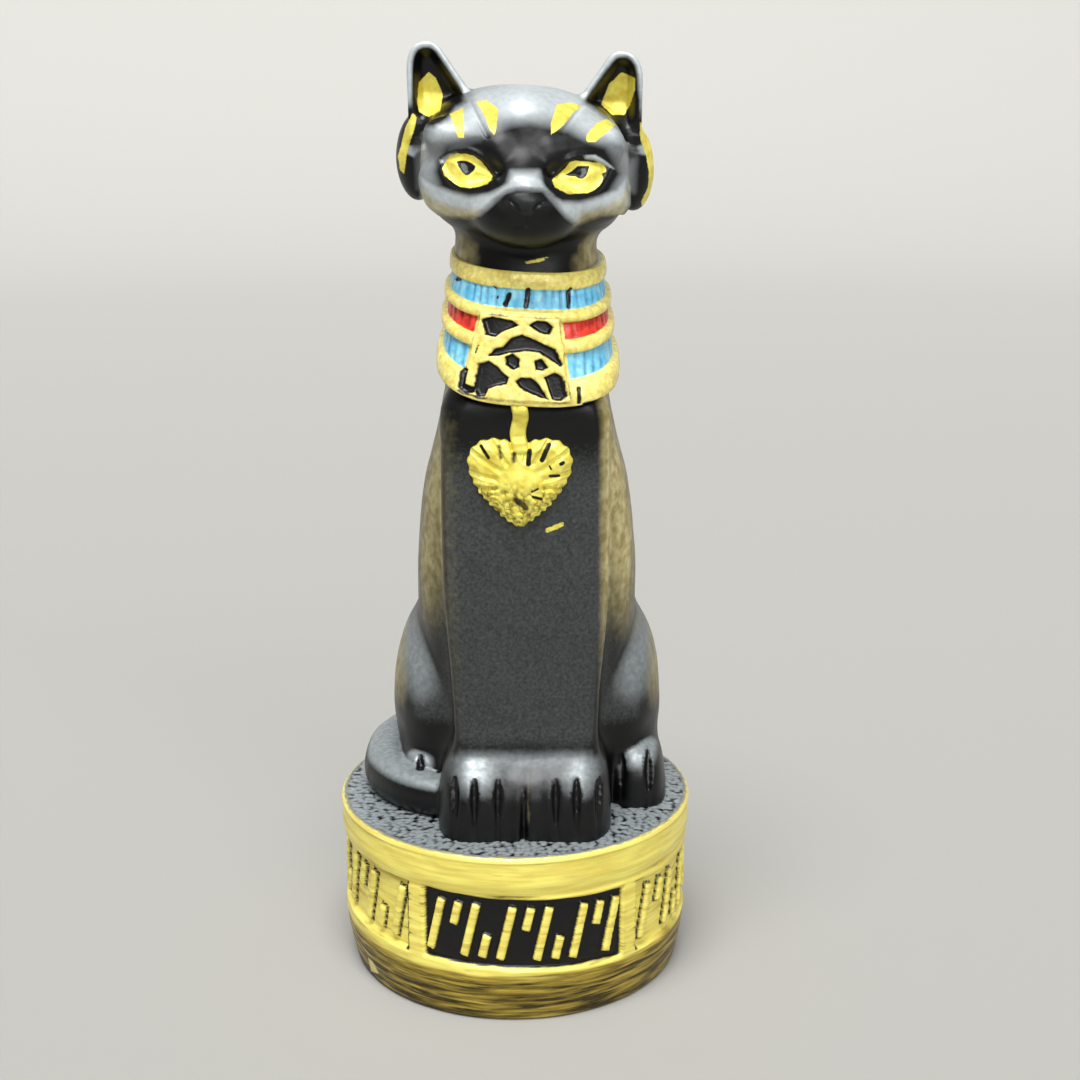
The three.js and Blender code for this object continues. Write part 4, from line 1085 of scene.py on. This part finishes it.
def makeCollar():
    turn = np.linspace(-np.pi, np.pi, int(collar["columns"] / detail), endpoint=False)
    step = collar["rowStep"] * detail
    lip = collar["lip"]
    foot = [(collar["depth"] + below, out) for below, out in collar["under"]]
    drops = np.arange(collar["depth"], 0, -step)
    drop = np.concatenate([[row[0] for row in foot], drops, [row[0] for row in lip]])[:, None]
    inside = np.concatenate([[row[1] for row in foot], 0 * drops, [row[1] for row in lip]])[:, None]
    onFace = np.repeat([False, True, False], [len(foot), len(drops), len(lip)])[:, None]
    turn = turn[None, :] + 0 * drop
    drop = drop + 0 * turn
    base = collarPoint(turn, drop, collar["marksOut"])
    x = base[..., 0]
    u, v = photoSpot(*np.moveaxis(base + standing, -1, 0))
    ahead = np.cos(turn) > 0
    shield = np.where(ahead, plaqueDistance(x, drop), farAway)
    # length round the collar, for the ribs
    middleRow = base[len(base) // 2, :, :2]
    length = np.concatenate([[0], np.cumsum(np.hypot(*np.diff(middleRow, axis=0).T))]) + 0 * drop
    edges = [0] + [band[0] for band in collar["bands"]]
    cells = {}
    for name, (index, clear) in collar["cells"].items():
        top, bottom = edges[index], edges[index + 1]
        cell = np.abs(drop - (top + bottom) / 2) - (bottom - top) / 2
        cells[name] = np.maximum(cell, clear - shield) if clear else cell
    # the ribs sway, and some are fainter than others
    sway = 0.45 * grain(length, drop * 0.35, 0 * drop, 2.4) + 0.06 * drop
    rib = np.abs(np.modf((length + sway) / collar["ribs"] + 100)[0] - 0.5) * 2
    groove = ramp(rib, 0.35, 1.0) * (0.55 + 0.45 * grain(length, drop, 0 * drop, 1.4, 2))
    blue, red = np.minimum(cells["blue"], cells["lowBlue"]), cells["red"]
    inCell = ramp(-np.minimum(blue, red), 0.02, 0.2)
    out = collarOut(drop) - collar["ribDepth"] * groove * inCell
    # brushed and cast by hand: edges wander a little
    spots = np.moveaxis(base, -1, 0)
    out = out + 0.035 * grain(*spots, 1.3) + 0.02 * grain(*spots, 0.5, 1)
    hollow = brushed(u, v, plaqueHollows, ahead)
    nick = np.where(ahead, strokeDistance(u, v, collarNicks), farAway)
    raised = out + (plaque["proud"] + 0.1 - out) * ramp(-shield, -0.05, 0.22)
    raised = raised - plaque["sunk"] * ramp(-hollow, -0.06, 0.2) - 0.1 * ramp(-nick, -0.05, 0.12)
    out = np.where(onFace, raised, inside)
    points, quads, triangles = ringSkin(collarPoint(turn, drop, out) + standing)
    # painted highlight in silver along the rim, painted shade in black on what lies inside it, and painted
    # shade where the gold turns brown round the plaque's edges and its hollows
    bright = ((drop < 0.05) & (inside < 0)) | (onFace & (drop < 0.16))
    inner = np.where(onFace | bright, farAway, 0.0)
    faceMasks = {
        "blue": blue + 0.06,
        "deepBlueCell": 0.2 - 0.42 * groove * ramp(-blue, 0.02, 0.2),
        "red": red + 0.06,
        "deepRedCell": 0.2 - 0.42 * groove * ramp(-red, 0.02, 0.2),
        "thin": 0.52 - 0.42 * ramp(np.abs(shield), 0.3, 0.0) - 0.25 * ramp(np.abs(hollow), 0.35, 0.1),
    }
    masks = {name: ringMask(np.where(onFace, values, farAway)) for name, values in faceMasks.items()}
    masks["ink"] = ringMask(np.minimum(np.minimum(hollow, nick) + 0.02, inner - 0.1))
    masks["rim"] = ringMask(np.where(bright, -0.05, farAway))
    addPiece("collar", points, quads, triangles, masks, collarPaint)


# Heart pendant on its strap

pendant = {
    "middle": -0.45,
    "half": 4.35,
    "top": 35.3,
    "tip": 27.6,
    "proud": 0.85,
    "strap": 1.35,
    "flutes": 9,
    "fan": 1.1,  # how far round the flutes spread, in half turns
    "fluteDepth": 0.2,
    "bossProud": 0.28,
    "scallops": 30,
    "scallop": 0.07,
    "step": 0.07,
    "strapTop": 38.4,
    "pixelsPerMm": 12.3,
    "low": (-5.3, -14.6, 26.9),
    "high": (4.5, -10.6, 38.6),
}

# Black nicks of the heart, and its hollows brown in painted shade, as strokes with their width
heartNicks = [
    ([(481, 446), (488.5, 458)], 3.4),
    ([(529.6, 451), (528.3, 464)], 5),
    ([(549, 445), (542, 460)], 5),
    ([(550, 476), (559, 475.7)], 3),
    ([(561, 464), (563, 463)], 4),
    ([(549.5, 466), (551, 469)], 2),
    ([(532, 492), (538, 489)], 2),
    ([(533, 497), (541, 499)], 3),
    ([(514, 529), (520, 530)], 3),
    ([(534, 528), (540, 520)], 4),
]
heartHollows = [([(499, 446), (501, 458)], 3), ([(514, 454), (514, 462)], 4), ([(516, 500), (526, 508)], 7)]


def bezier(a, b, c, d, steps=14):
    t = np.arange(steps)[:, None] / steps
    a, b, c, d = (np.array(point, float) for point in (a, b, c, d))
    return (1 - t) ** 3 * a + 3 * t * (1 - t) ** 2 * b + 3 * t**2 * (1 - t) * c + t**3 * d


def heartOutline():
    half, top, tip = pendant["half"], pendant["top"], pendant["tip"]
    tall = top - tip
    notch, lobe, shoulder = (0, top - 0.12 * tall), top + 0.1 * tall, top - 0.2 * tall
    flank, point = top - 0.5 * tall, tip + 0.12 * tall
    upper = bezier(notch, (0.1 * half, top), (0.85 * half, lobe), (half, shoulder))
    lower = bezier((half, shoulder), (1.1 * half, flank), (0.4 * half, point), (0, tip))
    right = np.concatenate([upper, lower, [(0, tip)]])
    left = right[1:-1][::-1] * (-1, 1)
    return [tuple(spot) for spot in np.concatenate([right, left])]


heartLine = heartOutline()


def slabFront(z):
    return along(body["slab"], 2, z)


def pendantField(x, y, z):
    side = x - pendant["middle"]
    boss = (pendant["top"] + pendant["tip"]) / 2
    edge = outlineDistance(side, z, heartLine)
    around = np.arctan2(side, z - boss)
    # a scalloped edge, and a plate that crowns towards its boss
    edge = edge + pendant["scallop"] * np.cos(around * pendant["scallops"])
    crown = pendant["proud"] * (0.45 + 0.55 * ramp(-edge, 0.0, 0.9))
    crown = crown + pendant["bossProud"] * ramp(np.hypot(side, (z - boss) * 1.1), 2.0, 0.2)
    front = slabFront(z) - crown
    away = np.hypot(side, z - boss)
    flute = around / (np.pi * pendant["fan"]) * pendant["flutes"]
    flute = np.abs(np.modf(flute + 100)[0] - 0.5) * away * 2
    inFan = ramp(away, 1.7, 2.2) * ramp(z, boss - 1.4, boss - 0.2)
    flute = flute * np.pi * pendant["fan"] / pendant["flutes"] / 2
    front = front + pendant["fluteDepth"] * ramp(flute, 0.32, 0.08) * inFan
    plate = smoothCut(np.maximum(front - y, y - slabFront(z) - 1), -(edge + 0.02), 0.25)
    strapFoot = pendant["top"] - 1.2
    lean = 0.12 * np.sin((z - 35) * 2.1)
    band = np.abs(side + 0.05 + lean) - pendant["strap"] / 2
    band = np.maximum(band, np.maximum(z - pendant["strapTop"], strapFoot - z))
    strapFront = slabFront(z) - 0.45 - 0.75 * ramp(z, 36.6, 37.9) - 0.35 * ramp(z, 35.6, 34.9)
    strap = smoothCut(np.maximum(strapFront - y, y - slabFront(z) - 0.8), -band, 0.3)
    return smoothJoin(plate, strap, 0.25)


def makePendant():
    box = (pendant["low"], pendant["high"])
    points, normals, quads, triangles = castSkin(pendantField, *box, pendant["step"])
    x, y, z = points.T
    facing = ramp(-normals[:, 1], 0.0, 0.5)
    crumbs = ramp(z, 32.2, 30.6)
    lumps = 0.05 * grain(x, y, z, 0.9) + 0.03 * grain(x, y, z, 0.4, 1)
    crust = np.abs(0.6 * grain(x, y, z, 0.46, 2) + 0.5 * grain(x, y, z, 0.3, 3)) - 0.3
    points = points + normals * ((lumps + 0.2 * crumbs * crust) * facing)[:, None]
    world = points + standing
    u, v = photoSpot(*world.T)
    nick = strokeDistance(u, v, heartNicks, pendant["pixelsPerMm"])
    thin = strokeDistance(u, v, heartHollows, pendant["pixelsPerMm"])
    # painted shade: the gold turns brown in the hollows between the crumbs on the lower half
    thin = np.minimum(thin, 0.34 + 0.7 * crust - 0.16 * crumbs)
    masks = {"ink": np.where(facing > 0.1, nick, farAway), "thin": thin}
    addPiece("heart_pendant", world, quads, triangles, masks, pendantPaint)


# Drum: a foot that tapers in, a band of panels and a bead under the rim; its top is pebbled

drum = {
    "half": 16.3,
    "depth": 17.8,
    "height": 15.7,
    "rimEase": 0.5,
    "footEase": 0.4,
    "bead": 3.5,
    "beadProud": 0.2,
    "groove": 0.3,
    "grooveDepth": 0.15,
    "foot": 5.1,
    "footInset": 0.9,
    "drop": 0.035,
    "columns": 560,
    "rowStep": 0.15,
    "crowding": 0.3,
    "pebble": 0.52,
    "pixelsPerMm": 12.0,
}

panels = {
    "turn": 3.7,
    "gap": 1.7,
    "margin": 0.1,
    "strokeMargin": 0.8,
    "deep": 0.55,
    "stroke": 0.75,
    "strokeSunk": 0.08,
    "lean": 14,
    "shortHeight": 0.42,
    "shortLevel": 0.27,
    # how many strokes in each panel, and whether every second one is short
    "marks": [(11, True), (9, True), (6, False), (6, False), (9, True)],
}


def drumFace(z):
    # half width of the drum before it is squeezed to an oval
    taper = np.clip((drum["foot"] - z) / drum["foot"], 0, 1)
    face = drum["half"] - drum["beadProud"] - drum["footInset"] * taper**1.5
    below = np.clip(drum["footEase"] - z, 0, drum["footEase"])
    face = face - (drum["footEase"] - np.sqrt(drum["footEase"] ** 2 - below**2))
    beadFoot = drum["height"] - drum["bead"]
    middle = beadFoot - drum["groove"] / 2
    face = face - drum["grooveDepth"] * np.exp(-(((z - middle) / drum["groove"] * 2) ** 2))
    return face + drum["beadProud"] * ramp(z, beadFoot - 0.1, beadFoot + drum["bead"] / 3)


def panelMaps(turn, z):
    # distances to the nearest panel's edge, its strokes and its black crevices, and which panel it is
    radius = (drum["half"] + drum["depth"]) / 2
    low, high = drum["foot"], drum["height"] - drum["bead"] - drum["groove"]
    tall = high - low - 2 * panels["margin"]
    wide = 2 * np.pi * radius / len(panels["marks"]) - panels["gap"]
    long = tall - 2 * panels["strokeMargin"]
    lean = np.radians(panels["lean"])
    up = z - (low + high) / 2 + drum["drop"] * np.sin(turn) * drum["half"]
    edge, stroke, crevice = (np.full(turn.shape, farAway) for _ in range(3))
    which = np.zeros(turn.shape, int)
    for number, (marks, shorts) in enumerate(panels["marks"]):
        middle = np.radians(panels["turn"]) + number * 2 * np.pi / len(panels["marks"])
        across = radius * ((turn - middle + np.pi) % (2 * np.pi) - np.pi)
        panel = np.maximum(np.abs(across) - wide / 2, np.abs(up) - tall / 2)
        # painted shade: black along the panel's upright sides and under its top edge
        runs = np.minimum(wide / 2 - np.abs(across) - 0.5, tall / 2 - up - 0.26)
        crevice = np.minimum(crevice, np.maximum(runs, panel))
        which = np.where(panel < edge, number, which)
        edge = np.minimum(edge, panel)
        step = wide / (marks + 0.4)
        for mark in range(marks):
            short = shorts and mark % 2 == 1
            level = (1 if mark % 4 == 1 else -1) * panels["shortLevel"] * long if short else 0
            height = long * panels["shortHeight"] if short else long
            at = (mark - (marks - 1) / 2) * step + level * np.tan(lean)
            beside = (across - at) * np.cos(lean) - (up - level) * np.sin(lean)
            above = (across - at) * np.sin(lean) + (up - level) * np.cos(lean)
            bar = np.maximum(np.abs(beside) - panels["stroke"] / 2, np.abs(above) - height / 2)
            stroke = np.minimum(stroke, bar)
    crevice = np.minimum(crevice, np.abs(stroke - 0.12) - 0.09)
    return edge, stroke, crevice, which


def pebbles(x, y, size):
    # height of packed pebbles: 1 on a pebble's top, 0 between
    spots = [x / size, y / size]
    cells = [np.floor(spot).astype(int) for spot in spots]
    nearest = np.full(x.shape, farAway)
    for i in (-1, 0, 1):
        for j in (-1, 0, 1):
            cx, cy = cells[0] + i, cells[1] + j
            spot = (cx % lattice.shape[1], cy % lattice.shape[1])
            px = cx + lattice[0][(*spot, 3)]
            py = cy + lattice[1][(*spot, 7)]
            nearest = np.minimum(nearest, np.hypot(spots[0] - px, spots[1] - py))
    return 1 - np.clip(nearest, 0, 1)


# Chips along the foot, as outlines in pixels of the photograph
footChips = {
    "frontLong": [(421, 1008), (436, 1012), (470, 1018), (505, 1019), (503, 1023), (462, 1021), (430, 1016)],
    "leftSpot": [(368, 957), (373, 962), (379, 974), (371, 971)],
}


def makeDrum():
    spread = np.linspace(-np.pi, np.pi, int(drum["columns"] / detail), endpoint=False)
    turn = spread - drum["crowding"] * np.sin(spread)
    step = drum["rowStep"] * detail
    ease = drum["rimEase"]
    sideRows = np.arange(0, drum["height"] - ease, step)
    bends = np.linspace(0, np.pi / 2, int(8 / detail) + 1)
    # the top's rows lie close together where its pebbles show, and wider under the cat
    topRows = np.concatenate([np.arange(1, 28 / detail) * 0.2 * detail, np.linspace(6.0, 15.5, 14)])
    faceTop = drum["half"] - ease
    under = [(0.3 * faceTop, 0), (0.7 * faceTop, 0), (drumFace(0.0) - 0.6, 0)]
    side = [(None, z) for z in sideRows]
    rim = [(faceTop + ease * np.cos(b), drum["height"] - ease + ease * np.sin(b)) for b in bends]
    top = [(faceTop - inset, drum["height"]) for inset in topRows]
    rows = under + side + rim + top
    z = np.array([row[1] for row in rows])[:, None] + 0 * turn
    given = np.array([-1.0 if row[0] is None else row[0] for row in rows])[:, None]
    reach = np.where(given < 0, drumFace(z), given) + 0 * turn
    turn = turn[None, :] + 0 * z
    # underside, side, rim or top
    kind = np.repeat([0, 1, 2, 3], [len(under), len(side), len(rim), len(top)])[:, None] + 0 * z
    edge, stroke, crevice, which = panelMaps(turn, z)
    edge = np.where(kind == 1, edge, farAway)
    stroke = np.where(kind == 1, stroke, farAway)
    floor = panels["deep"] * ramp(-edge, -0.03, 0.2)
    raised = (panels["deep"] - panels["strokeSunk"]) * ramp(-stroke, -0.16, 0.1)
    out = -floor + np.minimum(raised, floor)
    squash = drum["depth"] / drum["half"]
    x, y = np.sin(turn) * reach, -np.cos(turn) * reach * squash
    lumps = 0.05 * grain(x, y, z, 4.0) + 0.035 * grain(x, y, z * 2.5, 1.2, 1) - 0.06
    out = out + np.where(kind == 1, lumps * ramp(z, 0.0, 0.5), 0)
    x, y = np.sin(turn) * (reach + out), -np.cos(turn) * (reach + out) * squash
    inset = np.where(kind == 3, faceTop - reach, 0)
    stones = pebbles(x, y, drum["pebble"])
    height = (0.16 * (stones - 0.45) + 0.04 * grain(x, y, z, 2.0)) * ramp(inset, 0.35, 0.7)
    z = z + np.where(kind == 3, height, 0)
    points, quads, triangles = ringSkin(np.stack([x, y, z], -1))
    u, v = photoSpot(x, y, z)
    chips = markDistance(u, v, list(footChips.values()), drum["pixelsPerMm"])
    chips = np.where(np.cos(turn) > 0, chips, farAway)
    slope = np.where(kind == 2, (z - drum["height"] + ease) / ease, 0)
    black = np.where(kind == 3, -inset - 0.05, np.where(kind == 2, 0.35 - 0.4 * slope, farAway))
    # painted highlight in pale silver on the pebbles' tops and on the rim's upper bend
    silver = np.where(kind == 3, 0.46 - 1.0 * stones, np.where(kind == 2, 0.5 - 0.5 * slope, farAway))
    # the front panel's ground is black between its strokes, and the others only in their crevices
    frontGround = np.maximum(edge + 0.1, -stroke + 0.02)
    ground = np.where(which == 0, frontGround, np.where(edge < 0.1, crevice, farAway))
    # below the panels the gold is darker, and streaked
    masks = {
        "olive": 0.36 - 0.68 * ramp(z, 5.2, 4.0) - 0.1 * ramp(-edge, 0, 0.3),
        "streak": 0.27 - 0.27 * ramp(z, 4.8, 3.0) - 0.1 * ramp(np.abs(edge), 0.6, 0.1),
        "ink": ground,
        "black": black,
        "silver": silver,
        "bare": chips,
    }
    masks = {name: ringMask(values) for name, values in masks.items()}
    addPiece("drum", points, quads, triangles, masks, drumPaint)


sprayTooth = {"size": 0.35, "depth": 0.02, "strength": 0.5}
brushTooth = {"size": 0.25, "depth": 0.03, "strength": 0.6}

catPaint = paintedMaterial(
    "satinBlackOnCastResin",
    "satinBlack",
    [
        # fine pale specks of silver, with a painted sheen on the chest
        ("dustAndSheen", "silverDustAndSheen", 0.5, 0.14, 0.22),
        ("bronze", "bronzePowder", 0.5, 0.1, 0.5),
        # painted highlight in pale silver, partly silver dry-brush on the feet and the tail
        ("mistAndHighlight", "thinHighlightSilver", 0.5, 0.06, 0.4),
        ("ink", "inkAndShadeBlack", 0.06, 0.05, 0.5),
        ("gold", "goldAcrylic", 0.03, 0.05, 0.4),
    ],
    sprayTooth,
)
headPaint = paintedMaterial(
    "satinBlackHead",
    "satinBlack",
    [
        # painted highlight in pale silver
        ("mistAndHighlight", "highlightSilver", 0.5, 0.04, 0.5),
        ("bronze", "bronzePowder", 0.5, 0.05, 0.5),
        # painted shade in gloss black round the lids and inside the ears
        ("shade", "inkAndShadeBlack", 0.14, 0.05, 0.5),
        ("gold", "goldAcrylic", 0.03, 0.09, 0.35),
        ("ink", "inkAndShadeBlack", 0.03, 0.02, 0.4),
        ("glint", "glintGrey", 0.04, 0.02, 0.4),
    ],
    sprayTooth,
)
collarPaint = paintedMaterial(
    "enamelledCollar",
    "paleGold",
    [
        # painted shade: brown gold round the plaque's edges and its hollows
        ("thin", "thinGoldAndShade", 0.15, 0.35, 0.5),
        ("blue", "turquoiseEnamel", 0.04, 0.1, 0.4),
        ("deepBlueCell", "deepTurquoise", 0.25, 0.1, 0.4),
        ("red", "redEnamel", 0.04, 0.08, 0.4),
        ("deepRedCell", "deepRed", 0.25, 0.1, 0.4),
        # painted highlight in silver along the rim
        ("rim", "highlightSilver", 0.1, 0.1, 0.4),
        # gloss black in the plaque's hollows and nicks, and painted shade inside the rim
        ("ink", "inkAndShadeBlack", 0.04, 0.1, 0.4),
    ],
    brushTooth,
    coat=0.15,
)
pendantPaint = paintedMaterial(
    "goldOverHeart",
    "goldAcrylic",
    # painted shade in brown gold in the heart's hollows, and black in its nicks
    [("thin", "thinGoldAndShade", 0.12, 0.2, 0.4), ("ink", "inkAndShadeBlack", 0.03, 0.05, 0.4)],
    brushTooth,
    coat=0.15,
)
drumPaint = paintedMaterial(
    "brushedGoldOverBlackDrum",
    "brushedGold",
    [
        ("olive", "footGold", 0.2, 0.5, 6.0),
        ("streak", "thinGoldAndShade", 0.1, 0.6, 5.0),
        # black on the front panel's ground, and painted shade along the other panels' sides and under their
        # tops
        ("ink", "inkAndShadeBlack", 0.05, 0.08, 1.2),
        ("bare", "bareResin", 0.04, 0.1, 0.8),
        ("black", "satinBlack", 0.05, 0.1, 0.8),
        # painted highlight in pale silver on the pebbles and the rim
        ("silver", "thinHighlightSilver", 0.2, 0.35, 0.8),
    ],
    brushTooth,
    stretch=(1, 1, 14),
)

makeBody()
makeHead()
makeCollar()
makePendant()
makeDrum()


# The stage: a round sheet of pale paper, flat in the middle and curling up far off all round, in
# mm. It stays low, so that the light from the front passes over it
stage = {
    "flat": 650,
    "curl": 480,
    "wall": 20,
    "columns": 96,
    "bends": 17,
    "paper": "#a3a29e",
    "roughness": 0.9,
    "sheen": 0.1,
}
room = {"color": "#f0f1f2", "strength": 0.4}


def makeStage():
    floor = bpy.data.materials.new("palePaper")
    floor.use_nodes = True
    shader = floor.node_tree.nodes["Principled BSDF"]
    shader.inputs["Base Color"].default_value = linear(stage["paper"])
    shader.inputs["Roughness"].default_value = stage["roughness"]
    shader.inputs["Specular IOR Level"].default_value = stage["sheen"]
    bends = np.linspace(0, np.pi / 2, stage["bends"])
    profile = [(stage["flat"] + stage["curl"] * np.sin(b), stage["curl"] * (1 - np.cos(b))) for b in bends]
    profile.append((profile[-1][0], profile[-1][1] + stage["wall"]))
    turns = np.arange(stage["columns"]) * 2 * np.pi / stage["columns"]
    corners = [
        (reach * np.cos(turn) * mm, reach * np.sin(turn) * mm, up * mm)
        for reach, up in profile
        for turn in turns
    ]
    columns = stage["columns"]
    faces = [tuple(range(columns))]
    for row in range(0, (len(profile) - 1) * columns, columns):
        for i in range(columns):
            j = (i + 1) % columns
            faces.append([row + j, row + i, row + columns + i, row + columns + j])
    mesh = bpy.data.meshes.new("floor")
    mesh.from_pydata(corners, [], faces)
    mesh.materials.append(floor)
    mesh.shade_smooth()
    sheet = bpy.data.objects.new("floor", mesh)
    bpy.context.scene.collection.objects.link(sheet)


lights = {
    # direction it shines from, strength, and how wide it looks in degrees, as a softbox far away
    "softboxAbove": ((-0.08, -0.4, 1.0), 3.8, 34),
    "fillFront": ((0.28, -1.0, 0.3), 3.7, 50),
}


def makeLights():
    for name, (source, strength, width) in lights.items():
        lamp = bpy.data.lights.new(name, "SUN")
        lamp.energy = strength
        lamp.angle = np.radians(width)
        holder = bpy.data.objects.new(name, lamp)
        holder.rotation_euler = Vector(source).to_track_quat("Z", "Y").to_euler()
        bpy.context.scene.collection.objects.link(holder)
    world = bpy.data.worlds.new("paleRoom")
    world.use_nodes = True
    sky = world.node_tree.nodes["Background"]
    sky.inputs["Color"].default_value = linear(room["color"])
    sky.inputs["Strength"].default_value = room["strength"]
    bpy.context.scene.world = world
    bpy.context.scene.view_settings.view_transform = "Standard"


def makeCamera():
    lens = bpy.data.cameras.new("camera")
    lens.lens = shot["lens"]
    lens.sensor_width = shot["film"]
    lens.clip_start = 0.01
    camera = bpy.data.objects.new("camera", lens)
    camera.location = Vector(shot["eye"]) * mm
    camera.rotation_euler = (np.radians(90 - shot["pitch"]), 0, 0)
    bpy.context.scene.collection.objects.link(camera)
    bpy.context.scene.camera = camera


makeStage()
makeLights()
makeCamera()
print("stage, lights and camera set")
